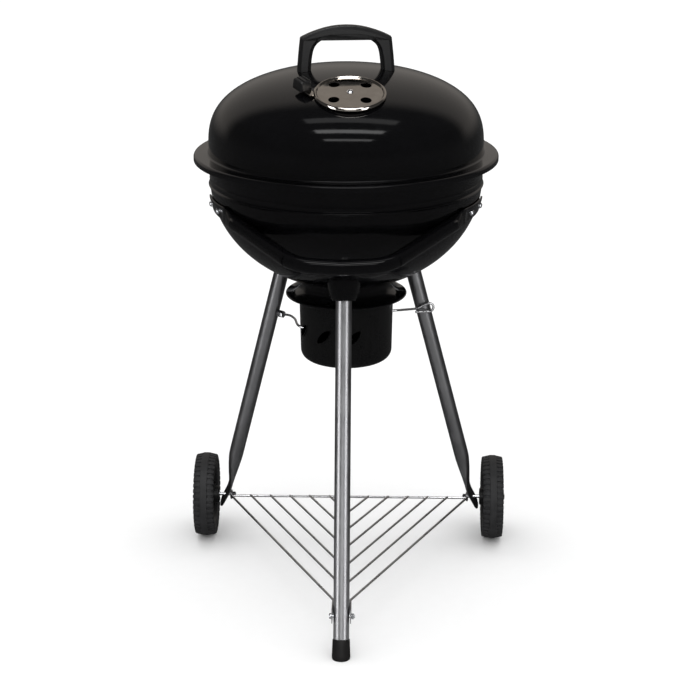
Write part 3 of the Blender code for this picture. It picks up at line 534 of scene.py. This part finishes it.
# rubber foot, flat where it rests
foot = [(0, 0.0310), (0.0126, 0.0310), (0.0134, 0.0306), (0.0138, 0.0296), (0.0141, 0.0200),
        (0.0144, 0.0120), (0.0146, 0.0060), (0.0145, 0.0020), (0.0141, -0.0012), (0.0132, -0.0032),
        (0.0118, -0.0042), (0, -0.0042)]
bm = placed(spun(foot, 64, closed=False), along(frontUp, legPoint(0, legTurns["front"])))
cutPlane = bmesh.ops.bisect_plane(
    bm, geom=bm.verts[:] + bm.edges[:] + bm.faces[:], plane_co=(0, 0, 0), plane_no=(0, 0, -1),
    clear_outer=True)
bmesh.ops.contextual_create(bm, geom=[g for g in cutPlane["geom_cut"] if isinstance(g, bmesh.types.BMEdge)])
finished("frontFootCap", bm, "stand", footRubber, ["front_foot"])
print("legs ready")

# ash collar and can
collarProfile = [(0.0757, 0.5450), (0.0757, 0.5350), (0.0763, 0.5338), (0.0763, 0.5326), (0.0758, 0.5314)]
collarProfile += smoothThrough([(0.0762, 0.5296, 0), (0.0790, 0.5234, 0), (0.0850, 0.5180, 0),
                                (0.0920, 0.5150, 0), (0.0975, 0.5137, 0)], 5)
collarProfile = [(p[0], p[1]) for p in collarProfile]
collarProfile += arc((0.0979, 0.5121), 0.0016, 80, -110, 10)
collarProfile += [(0.0970, 0.5116), (0.0930, 0.5133), (0.0860, 0.5162), (0.0795, 0.5220), (0.0750, 0.5310),
                  (0.0746, 0.5450)]
collarPiece = finished("ashCollar", spun(collarProfile, 128), "stand", enamel, ["ash_collar"])
cutAway(collarPiece, bowlBody(fitGap))

can = {"top": 0.514, "foot": 0.400, "ventHeight": 0.455,
       "ventTurns": (-65, -27.5, 10), "ventHalf": (0.0165, 0.0062), "panelTurn": 39}
canProfile = [(0, 0.4010), (0.0600, 0.4010)] + arc((0.0592, 0.4160), 0.0150, 272, 360, 10)
canProfile += [(0.0765, 0.5120)] + arc((0.0772, can["top"] - 0.0008), 0.0007, 180, -20, 8)
canProfile += [(0.0776, 0.5100), (0.0772, 0.4990), (0.0773, 0.4975), (0.0771, 0.4960)]
canProfile += arc((0.0595, 0.4160), 0.0160, 0, -88, 12)
canProfile += [(0.0560, can["foot"]), (0.0555, can["foot"] + 0.0006), (0, can["foot"] + 0.0006)]
canPiece = finished("ashCan", spun(canProfile, 128, closed=False), "ash_bucket", canPaint,
                    ["ash_can"])
ventCutter = bmesh.new()
for turnDegrees in can["ventTurns"]:
    turn = math.radians(turnDegrees)
    place = (Matrix.Translation(Vector((math.sin(turn), -math.cos(turn), 0)) * 0.0755
                                + upright * can["ventHeight"])
             @ Matrix.Rotation(turn, 4, "Z") @ Matrix.Rotation(math.radians(-45), 4, "Y"))
    outer = bmesh.ops.create_circle(ventCutter, segments=40, radius=1, cap_ends=True)["verts"]
    for vert in outer:
        c, s = vert.co.x, vert.co.y
        vert.co = (can["ventHalf"][0] * c, -0.02, can["ventHalf"][1] * math.copysign(abs(s) ** 1.35, s))
    pushed = bmesh.ops.extrude_face_region(ventCutter, geom=[outer[0].link_faces[0]])
    bmesh.ops.translate(ventCutter, vec=(0, 0.04, 0),
                        verts=[g for g in pushed["geom"] if isinstance(g, bmesh.types.BMVert)])
    every = {v for f in outer[0].link_faces for v in f.verts} | set(outer)
    every |= {g for g in pushed["geom"] if isinstance(g, bmesh.types.BMVert)}
    bmesh.ops.transform(ventCutter, matrix=place, verts=list(every))
    # a pressed lip follows the lower edge of each vent
    lip = []
    for i in range(25):
        around = math.radians(-178 + 176 * i / 24)
        x = can["ventHalf"][0] * 1.05 * math.cos(around)
        z = can["ventHalf"][1] * 1.12 * math.copysign(abs(math.sin(around)) ** 1.35, math.sin(around))
        flat = Matrix.Rotation(math.radians(-45), 4, "Y") @ Vector((x, 0, z))
        bend = turn + flat.x / 0.0762
        bulge = 0.0764 + 0.0007 * math.sin(math.pi * i / 24)
        lip.append((bulge * math.sin(bend), -bulge * math.cos(bend), can["ventHeight"] + flat.z))
    bm = bmesh.new()
    sweep(bm, tubeSections(lip, 0.0009), 12)
    lipName = f"ventLip{turnDegrees:+.0f}".replace("+", "R").replace("-", "L")
    finished(lipName, bm, "ash_bucket", canPaint)
cutAway(canPiece, ventCutter)
panel = bmesh.new()
bmesh.ops.create_cube(panel, size=1)
bmesh.ops.scale(panel, vec=(0.018, 0.0016, 0.070), verts=panel.verts)
bmesh.ops.subdivide_edges(
    panel, edges=[e for e in panel.edges if abs((e.verts[0].co - e.verts[1].co).x) > 0.01],
    cuts=7, use_grid_fill=True)
bmesh.ops.bevel(panel, geom=[e for e in panel.edges if e.calc_face_angle(0) > 0.5], offset=0.0006, segments=3,
                affect="EDGES", profile=0.5, material=-1)
for vert in panel.verts:
    turn = math.radians(can["panelTurn"]) + vert.co.x / 0.0765
    reach = 0.0758 - vert.co.y + (vert.co.z / 0.070) * 0.0006
    vert.co = (reach * math.sin(turn), -reach * math.cos(turn), 0.4540 + vert.co.z)
finished("canPanel", panel, "ash_bucket", canPaint)

leftHook = [(-0.1078, 0.0849, 0.4455), (-0.0960, 0.0560, 0.4525), (-0.0862, 0.0180, 0.4588),
            (-0.0815, -0.0100, 0.4600), (-0.0775, -0.0205, 0.4592), (-0.0690, -0.0262, 0.4575)]
rightHook = [(0.0700, -0.0020, 0.4800), (0.0800, 0.0020, 0.4800), (0.0880, 0.0120, 0.4775),
             (0.1140, 0.0760, 0.4600), (0.1200, 0.0815, 0.4600), (0.1330, 0.0825, 0.4665),
             (0.1405, 0.0840, 0.4672), (0.1452, 0.0852, 0.4636), (0.1452, 0.0852, 0.4570),
             (0.1405, 0.0840, 0.4532), (0.1330, 0.0828, 0.4530), (0.1150, 0.0800, 0.4528)]
for name, points in (("left", leftHook), ("right", rightHook)):
    bm = bmesh.new()
    sweep(bm, tubeSections(smoothThrough(points, 5), 0.0020), 20)
    finished(f"{name}HangerWire", bm, "ash_bucket", platedWire, [f"{name}_hanger"])


def hexNut(across, half, bore):
    # six flats with bevelled rims, and a shallow recess in each face
    bm = bmesh.new()
    bmesh.ops.create_cone(bm, cap_ends=True, segments=6, radius1=across / math.sqrt(3),
                          radius2=across / math.sqrt(3), depth=2 * half)
    rims = [e for e in bm.edges if abs(e.verts[0].co.z - e.verts[1].co.z) < 1e-6]
    bmesh.ops.bevel(bm, geom=rims, offset=0.10 * across, segments=2, affect="EDGES", profile=0.5, material=-1)
    for face in [f for f in bm.faces if abs(f.normal.z) > 0.99]:
        bmesh.ops.inset_region(bm, faces=[face], thickness=across * 0.5 - bore)
        bmesh.ops.translate(bm, vec=(0, 0, -math.copysign(min(half * 0.8, 0.0015), face.normal.z)),
                            verts=face.verts)
    return bm


nutAxis = Vector((0.8, -0.6, 0.02)).normalized()
nutSeat = legPoint(0.4445, legTurns["left"]) + nutAxis * (leg["radius"] + 0.0086)
bm = placed(hexNut(0.0110, 0.0060, 0.0029), along(nutAxis, nutSeat))
finished("hangerNut", bm, "stand", zinc, ["hanger_nut"])
print("ash can ready")

# lid handle: a moulded loop with chamfered faces
lidHandle = {"forward": 0.012, "turn": 6, "depth": 0.024, "chamfer": 0.0056, "screwReach": 0.0668}
outline = smoothThrough([(-0.0776, 0.868, 0), (-0.0766, 0.888, 0), (-0.0747, 0.910, 0),
                         (-0.0722, 0.9330, 0)], 4)
outline += smoothThrough([(-0.0712, 0.9346, 0), (-0.0587, 0.9406, 0), (-0.0450, 0.9456, 0),
                          (-0.0300, 0.9498, 0), (-0.0150, 0.9523, 0), (0, 0.9531, 0)], 4)
outline += [Vector((-p.x, p.y, 0)) for p in reversed(outline[:-1])]
opening = smoothThrough([(0.0562, 0.868, 0), (0.0549, 0.892, 0), (0.0522, 0.9110, 0), (0.0477, 0.9217, 0),
                         (0.0392, 0.9291, 0), (0.0270, 0.9335, 0), (0.0140, 0.9347, 0), (0, 0.9349, 0)], 4)
opening += [Vector((-p.x, p.y, 0)) for p in reversed(opening[:-1])]
bm = bmesh.new()
loop = [bm.verts.new((p[0], -lidHandle["depth"] / 2, p[1])) for p in outline + opening]
front = bm.faces.new(loop)
pushed = bmesh.ops.extrude_face_region(bm, geom=[front])["geom"]
bmesh.ops.translate(bm, vec=(0, lidHandle["depth"], 0),
                    verts=[g for g in pushed if isinstance(g, bmesh.types.BMVert)])
bmesh.ops.recalc_face_normals(bm, faces=bm.faces)
sides = [f for f in bm.faces if abs(f.normal.y) > 0.99]
bmesh.ops.inset_region(bm, faces=sides, thickness=lidHandle["chamfer"], depth=0)
for vert in {v for f in bm.faces if abs(f.normal.y) < 0.5 for v in f.verts}:
    vert.co.y *= 0.62
edges = [e for e in bm.edges if e.is_manifold and e.calc_face_angle(0) > math.radians(20)
         and abs(e.verts[0].co.y - e.verts[1].co.y) < 0.001]
bmesh.ops.bevel(bm, geom=edges, offset=0.0024, segments=4, affect="EDGES", profile=0.5, material=-1)
handlePlace = Matrix.Translation((0, -lidHandle["forward"], 0))
placed(bm, handlePlace @ Matrix.Rotation(math.radians(lidHandle["turn"]), 4, "Z"))
lidHandlePiece = finished("lidHandle", bm, "lid", nylon, ["lid_handle"], 24)
domeRows = domeProfile()[:34]
lidCutter = spun([(r, h + fitGap) for r, h in domeRows] + [(domeRows[-1][0], rim), (0, rim)], closed=False)
cutAway(lidHandlePiece, lidCutter)
screwPoints = []
for sign in (-1, 1):
    across, turn = sign * lidHandle["screwReach"], math.radians(lidHandle["turn"])
    spot = Vector((across * math.cos(turn), -lidHandle["forward"] + across * math.sin(turn), 0))
    spot.z = lidHeight(math.hypot(spot.x, spot.y))
    screwPoints.append(spot)
panProfile = [(0, 0.0100), (0.0022, 0.0100), (0.0022, 0.0), (0.0050, 0.0), (0.0050, -0.0012),
              (0.0042, -0.0024), (0.0028, -0.0030), (0, -0.0030)]
for side, spot in zip(("left", "right"), screwPoints):
    bm = spun(panProfile, 32, closed=False)
    bmesh.ops.translate(bm, vec=spot - upright * 0.0032, verts=bm.verts)
    finished(f"{side}LidHandleScrew", bm, "lid", zinc, [f"{side}_lid_handle_screw"])
print("lid handle ready")

# damper: a domed disc with a rolled rim, on one rivet


def discSag(radius):
    return -(radius ** 2) / (2 * 0.52)


discProfile = [(0.0030, 0.0012)] + [(r / 1000, discSag(r / 1000) + 0.0012) for r in range(6, 50, 4)]
discProfile += [(0.0503, discSag(0.050) + 0.0013), (0.0510, discSag(0.050) + 0.0019)]
discProfile += arc((0.0534, discSag(0.050) + 0.0016), 0.0023, 165, 10, 10)
discProfile += [(damper["radius"], discSag(0.050) + 0.0008), (damper["radius"], discSag(0.056) + 0.0002)]
discProfile += [(0.0553, discSag(0.055)), (0.0548, discSag(0.050) + 0.0012)]
discProfile += [(0.0534, discSag(0.050) + 0.0024), (0.0518, discSag(0.050) + 0.0012),
                (0.0506, discSag(0.050))]
discProfile += [(r / 1000, discSag(r / 1000)) for r in range(48, 5, -6)] + [(0.0030, 0.0)]
bm = placed(spun(discProfile), damperPlace)
discPiece = finished("damperDisc", bm, "damper", stainless, ["damper_disc"])
cutAway(discPiece, drillBits(ventLines, damper["ventRadius"]))
armPlace = damperPlace @ Matrix.Translation(damper["armRoot"])
armPlace = armPlace @ Matrix.Rotation(math.radians(damper["armTurn"]), 4, "Z")
bm = bmesh.new()
armPath = smoothThrough([(-0.011, 0, -0.0014), (-0.006, 0, -0.0010), (0, 0, -0.0008),
                         (0.0195, 0, -0.0008)], 4)
sweep(bm, [(p, Vector((0, 1, 0)), Vector((0, 0, 1)), 0.0060, 0.0007, 8) for p in armPath], 32)
finished("damperArm", placed(bm, armPlace), "damper", stainless)
bm = bmesh.new()
bmesh.ops.create_cube(bm, size=1)
bmesh.ops.scale(bm, vec=(0.0253, 0.0218, 0.0173), verts=bm.verts)
bmesh.ops.translate(bm, vec=(0.01825, 0, 0.0057), verts=bm.verts)
for vert in bm.verts:
    if vert.co.z > 0.005:
        vert.co.x = 0.01825 + (vert.co.x - 0.01825) * 0.9
        vert.co.y *= 0.86
bmesh.ops.bevel(bm, geom=bm.edges[:], offset=0.0032, segments=4, affect="EDGES", profile=0.5, material=-1)
knobPiece = finished("damperKnob", placed(bm, armPlace), "damper", nylon, ["damper_knob"])
grooves = [(armPlace @ Vector((-0.01, y, 0.0140)), armPlace @ Vector((0.05, y, 0.0140)))
           for y in (-0.0036, 0.0036)]
cutAway(knobPiece, drillBits(grooves, 0.0017, 20))
rivetTop = [(0, 0.0044), (0.0014, 0.0043), (0.0030, 0.0038), (0.0043, 0.0029), (0.0051, 0.0018),
            (0.0052, 0.0015)]
rivetTop += [(0.0024, 0.0015), (0.0024, -0.0032), (0.0045, -0.0032), (0.0045, -0.0045), (0, -0.0045)]
bm = placed(spun(rivetTop, 40, closed=False), damperPlace)
finished("damperRivet", bm, "lid", zinc, ["damper_rivet"])
print("damper ready")

# wheels: a moulded tyre with a centre rib and shoulder lugs, a ribbed centre and a shoulder bolt
wheel = {"x": 0.258, "radius": 0.075, "lugs": 44, "ribs": 8}
axlePoint = legPoint(wheel["radius"], legTurns["right"])
tyreHalf = [(0.0566, 0.0150), (0.0580, 0.0162), (0.0620, 0.0172), (0.0660, 0.0174), (0.0690, 0.0166),
            (0.0708, 0.0148), (0.0716, 0.0120), (0.0718, 0.0068), (0.0742, 0.0064), (0.0748, 0.0058)]
tyreProfile = tyreHalf + [(wheel["radius"], 0.0040)] + [(wheel["radius"], -0.0040)]
tyreProfile += [(r, -h) for r, h in reversed(tyreHalf)]
rimProfile = [(0.0034, 0.0190), (0.0100, 0.0190), (0.0124, 0.0184), (0.0136, 0.0168), (0.0146, 0.0080),
              (0.0162, 0.0056), (0.0200, 0.0050), (0.0450, 0.0050), (0.0482, 0.0058), (0.0496, 0.0080),
              (0.0504, 0.0138), (0.0514, 0.0150), (0.0552, 0.0150), (0.0560, 0.0142), (0.0560, -0.0142),
              (0.0552, -0.0150), (0.0514, -0.0150), (0.0504, -0.0138), (0.0494, -0.0050), (0.0480, -0.0032),
              (0.0450, -0.0028), (0.0190, -0.0028), (0.0158, -0.0040), (0.0150, -0.0070), (0.0150, -0.0215),
              (0.0142, -0.0225), (0.0034, -0.0225)]
boltProfile = [(0, 0.0232), (0.0024, 0.0231), (0.0048, 0.0227), (0.0064, 0.0218), (0.0072, 0.0206),
               (0.0072, 0.0193), (0.0030, 0.0193), (0.0030, -0.0520), (0.0022, -0.0530), (0, -0.0530)]
for side, sign in (("right", 1), ("left", -1)):
    wheelPlace = along((sign, 0, 0), (sign * wheel["x"], axlePoint.y, wheel["radius"]))
    body = f"{side}_road_wheel"
    tyre = spun(tyreProfile, 176)
    for number in range(wheel["lugs"]):
        for end in (1, -1):
            lug = bmesh.ops.create_cube(tyre, size=1)["verts"]
            bmesh.ops.scale(tyre, vec=(0.0085, 0.0062, 0.0118), verts=lug)
            bmesh.ops.translate(tyre, vec=(0.0705, 0, end * 0.0121), verts=lug)
            for vert in lug:
                if abs(vert.co.z) > 0.015:
                    vert.co.x -= 0.0030 if vert.co.x > 0.0705 else 0.0050
                elif vert.co.x > 0.0705:
                    vert.co.x = 0.0744
            lugEdges = {e for v in lug for e in v.link_edges if all(w.co.x > 0.0705 for w in e.verts)}
            bevelled = bmesh.ops.bevel(tyre, geom=list(lugEdges), offset=0.0009, segments=2, affect="EDGES",
                                       profile=0.5, material=-1)
            whole = {v for f in bevelled["faces"] for v in f.verts}
            whole |= {w for v in whole for e in v.link_edges for w in e.verts}
            whole |= {w for v in whole for e in v.link_edges for w in e.verts}
            turn = 2 * math.pi * (number + (0.25 if end > 0 else -0.25)) / wheel["lugs"]
            bmesh.ops.rotate(tyre, cent=(0, 0, 0), matrix=Matrix.Rotation(turn, 3, "Z"), verts=list(whole))
    finished(f"{side}Tyre", placed(tyre, wheelPlace), body, tyreCompound, [f"{side}_tyre"])
    centrePiece = spun(rimProfile, 96)
    for number in range(wheel["ribs"]):
        for height, thick in ((0.0086, 0.0080), (-0.0070, 0.0090)):
            rib = bmesh.ops.create_cube(centrePiece, size=1)["verts"]
            bmesh.ops.scale(centrePiece, vec=(0.0360, 0.0034, thick), verts=rib)
            bmesh.ops.translate(centrePiece, vec=(0.0320, 0, height), verts=rib)
            ribEdges = list({e for v in rib for e in v.link_edges})
            bevelled = bmesh.ops.bevel(centrePiece, geom=ribEdges, offset=0.0006, segments=2, affect="EDGES",
                                       profile=0.5, material=-1)
            whole = {v for f in bevelled["faces"] for v in f.verts}
            bmesh.ops.rotate(centrePiece, cent=(0, 0, 0), verts=list(whole),
                             matrix=Matrix.Rotation(2 * math.pi * number / wheel["ribs"], 3, "Z"))
    finished(f"{side}WheelCentre", placed(centrePiece, wheelPlace), body, nylon,
             [f"{side}_wheel"])
    bm = placed(spun(boltProfile, 40, closed=False), wheelPlace)
    finished(f"{side}WheelBolt", bm, "stand", zinc, [f"{side}_wheel_bolt"])
    nutLow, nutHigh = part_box(f"{side}_wheel_nut")
    nutSeat = ((nutLow[0] + nutHigh[0]) / 2, axlePoint.y, wheel["radius"])
    bm = placed(hexNut(0.0080, 0.0025, 0.0033), along((sign, 0, 0), nutSeat))
    finished(f"{side}WheelNut", bm, "stand", zinc, [f"{side}_wheel_nut"])
print("wheels ready")

# bottom rack: welded wire with an eye on each wheel bolt and ears on the front leg
rack = {"height": 0.0745, "wire": 0.0020, "chevrons": 6, "boltHeight": 0.0635, "tipY": -0.282,
        "tieY": -0.2655}
eyeX = axlePoint.x - 0.0100
railY = axlePoint.y - 0.0070
lean = (railY - rack["tipY"]) / eyeX
bm = bmesh.new()
rearRail = [(sign * (eyeX + 0.001), railY, rack["height"]) for sign in (-1, 1)]
sweep(bm, tubeSections(rearRail, rack["wire"]), 20)
for number in range(rack["chevrons"]):
    x = eyeX * (rack["chevrons"] - number) / rack["chevrons"]
    if number == 0:
        near = eyeX - (railY - rack["tieY"]) / lean
        for sign in (-1, 1):
            ends = [(sign * x, railY, rack["height"] + 0.0006),
                    (sign * near, rack["tieY"], rack["height"] + 0.0006)]
            sweep(bm, tubeSections(ends, rack["wire"]), 20)
        continue
    tipY = railY - lean * x
    weldHeight = rack["height"] + 0.0014
    bend = [(x, railY, weldHeight), (0.010, tipY + 0.010 * lean, weldHeight),
            (0.0035, tipY + 0.0083, weldHeight), (0, tipY + 0.0050, weldHeight),
            (-0.0035, tipY + 0.0083, weldHeight), (-0.010, tipY + 0.010 * lean, weldHeight),
            (-x, railY, weldHeight)]
    sweep(bm, tubeSections(bend, rack["wire"] * 0.95), 20)
eye = [(0.0037, 0.0012), (0.0044, 0.0019), (0.0060, 0.0021), (0.0077, 0.0018), (0.0087, 0.0009),
       (0.0088, 0.0)]
for sign in (-1, 1):
    ring = spun(eye + [(r, -h) for r, h in reversed(eye[:-1])], 40)
    placed(ring, along((1, 0, 0), (sign * eyeX, axlePoint.y, rack["height"])))
    ringMesh = bpy.data.meshes.new("ring")
    ring.to_mesh(ringMesh)
    ring.free()
    bm.from_mesh(ringMesh)
    bpy.data.meshes.remove(ringMesh)


def softBlock(bm, size, centre, offset=0.0005):
    block = bmesh.ops.create_cube(bm, size=1)["verts"]
    bmesh.ops.scale(bm, vec=size, verts=block)
    bmesh.ops.translate(bm, vec=centre, verts=block)
    bmesh.ops.bevel(bm, geom=list({e for v in block for e in v.link_edges}), offset=offset, segments=2,
                    affect="EDGES", profile=0.5, material=-1)


for sign in (-1, 1):
    softBlock(bm, (0.0016, 0.0385, 0.0230), (sign * 0.0147, -0.27925, 0.0675))
softBlock(bm, (0.0300, 0.0020, 0.0215), (0, -0.2655, 0.06775))
finished("bottomRack", bm, "stand", platedWire, ["bottom_rack"])
boltPlace = along((-1, 0, 0), legPoint(rack["boltHeight"], legTurns["front"]))
bm = spun([(0, 0.0195), (0.0034, 0.0195), (0.0043, 0.0189), (0.0046, 0.0180), (0.0046, 0.0159),
           (0.0025, 0.0159), (0.0025, -0.0208), (0.0019, -0.0215), (0, -0.0215)], 40, closed=False)
finished("rackBolt", placed(bm, boltPlace), "stand", zinc, ["rack_bolt"])
nutSeat = legPoint(rack["boltHeight"], legTurns["front"]) + Vector((0.0179, 0, 0))
bm = placed(hexNut(0.0090, 0.0020, 0.0027), along((-1, 0, 0), nutSeat))
finished("rackNut", bm, "stand", zinc, ["rack_nut"])
print("rack ready")

# grates and brackets keep their CAD shape and take a real finish
for nodeName, material in (("cooking_grate", grateRod), ("charcoal_grate", grateRod),
                           ("front_grate_bracket", enamel), ("left_grate_bracket", enamel),
                           ("right_grate_bracket", enamel)):
    node = frame["nodes"][nodeName]
    for materialSlot in node.material_slots:
        materialSlot.material = material
print("grates ready")

# stage, lights and camera
stage = {"dimRoom": "#3e3e3e", "paleWall": "#a09b96", "dimFloor": "#4a4a4a", "sun": 0.6, "sunSpread": 70,
         "strips": ((-0.20, 1.1), (-1.15, 4.6), (-2.30, 3.4))}
floorMesh = bmesh.new()
bmesh.ops.create_grid(floorMesh, x_segments=1, y_segments=1, size=30)
floorData = bpy.data.meshes.new("studioFloor")
floorMesh.to_mesh(floorData)
floorMesh.free()
floor = bpy.data.objects.new("studioFloor", floorData)
scene.collection.objects.link(floor)
# Matt painted board: pale and even, with a very faint mottle.
board = surface("studioBoardPainted", {
    "dark": "#f6f6f6", "light": "#fbfbfb", "cloudSize": 0.8, "fineSize": 0.02, "fleck": 0.01,
    "roughness": (0.9, 0.95), "reliefStrength": 0.02, "reliefDepth": 0.0001, "ior": 1.2})
floorData.materials.append(board)
floor.visible_glossy = False

world = bpy.data.worlds.new("studio")
scene.world = world
world.use_nodes = True
sky = world.node_tree
rays = addNode(sky, "ShaderNodeLightPath")
background = sky.nodes["Background"]
# Glossy surfaces reflect a pale wall behind the grill and a dim room elsewhere.
# The camera and the matt surfaces get plain white.
aim = addNode(sky, "ShaderNodeTexCoord")
split = addNode(sky, "ShaderNodeSeparateXYZ", {"Vector": aim.outputs["Generated"]})
wallShare = addNode(sky, "ShaderNodeMapRange", {
    "Value": split.outputs["Y"], "From Min": 0.34, "From Max": 0.62}, interpolation_type="SMOOTHSTEP")
ground = addNode(sky, "ShaderNodeMapRange", {
    "Value": split.outputs["Z"], "From Min": 0.2, "From Max": -0.1}, interpolation_type="SMOOTHSTEP")
room = addNode(sky, "ShaderNodeMix", {
    "Factor": wallShare.outputs["Result"], 6: hexColour(stage["dimRoom"]), 7: hexColour(stage["paleWall"])},
    data_type="RGBA")
lower = addNode(sky, "ShaderNodeMix", {
    "Factor": ground.outputs["Result"], 6: room.outputs[2], 7: hexColour(stage["dimFloor"])},
    data_type="RGBA")
plain = addNode(sky, "ShaderNodeMath", {0: rays.outputs["Is Camera Ray"], 1: rays.outputs["Is Diffuse Ray"]},
               operation="MAXIMUM")
shown = addNode(sky, "ShaderNodeMix", {
    "Factor": plain.outputs[0], 6: lower.outputs[2], 7: (1, 1, 1, 1)}, data_type="RGBA")
sky.links.new(shown.outputs[2], background.inputs["Color"])
scene.view_settings.view_transform = "Standard"


def softLight(name, place, target, width, height, power):
    data = bpy.data.lights.new(name, "AREA")
    data.shape = "RECTANGLE"
    data.size, data.size_y = width, height
    data.energy = power
    lamp = bpy.data.objects.new(name, data)
    scene.collection.objects.link(lamp)
    lamp.location = place
    lamp.rotation_euler = (Vector(target) - Vector(place)).to_track_quat("-Z", "Y").to_euler()
    return lamp


sunData = bpy.data.lights.new("overhead", "SUN")
sunData.energy = stage["sun"]
sunData.angle = math.radians(stage["sunSpread"])
sun = bpy.data.objects.new("overhead", sunData)
scene.collection.objects.link(sun)
sun.visible_glossy = False
for number, (reach, power) in enumerate(stage["strips"]):
    softLight(f"strip{number}", (0.15, reach, 2.8), (0.15, reach, 0), 1.9, 0.34, power)


def receivers(name, materials):
    group = bpy.data.collections.new(name)
    for piece in scene.objects:
        if piece.type == "MESH" and piece.data.materials and piece.data.materials[0] in materials:
            group.objects.link(piece)
    return group


# Lights that only the bare metal receives, then two that only the mouldings, tyres and foot receive.
metalPieces = receivers("metalReceivers", {stainless, satinTube, platedWire, zinc, grateRod})
mouldedPieces = receivers("mouldedReceivers", {nylon, tyreCompound, footRubber})
for name, group, place, target, width, height, power in [
        ("metalLeft", metalPieces, (-1.6, -1.2, 0.5), (0, 0, 0.45), 0.7, 1.4, 20),
        ("metalRight", metalPieces, (1.5, -1.4, 0.5), (0, 0, 0.45), 0.7, 1.4, 18),
        ("metalFront", metalPieces, (0.1, -2.6, 0.5), (0, 0, 0.45), 1.6, 0.8, 10),
        ("metalHigh", metalPieces, (0.2, -1.4, 2.6), (0, 0, 0.45), 1.8, 1.2, 80),
        ("metalLow", metalPieces, (0, -0.7, 0.01), (0, -0.69, 1), 1.8, 1.3, 2.6),
        ("mouldedHigh", mouldedPieces, (-0.2, -0.9, 2.6), (0, 0, 0.6), 1.2, 0.8, 16),
        ("mouldedFront", mouldedPieces, (0.3, -2.4, 1.2), (0, 0, 0.3), 0.9, 0.7, 9)]:
    lamp = softLight(name, place, target, width, height, power)
    lamp.light_linking.receiver_collection = group
    lamp.visible_camera = False

shot = {"lens": 96.4, "sensor": 36, "place": (0.0829, -2.9590, 1.4076), "pitch": 71.39, "heading": 0.0259}
cameraData = bpy.data.cameras.new("camera")
cameraData.lens = shot["lens"]
cameraData.sensor_width = shot["sensor"]
camera = bpy.data.objects.new("camera", cameraData)
scene.collection.objects.link(camera)
camera.location = kettlePlace @ Vector(shot["place"])
camera.rotation_euler = (math.radians(shot["pitch"]), 0, shot["heading"])
scene.camera = camera

print("scene ready")
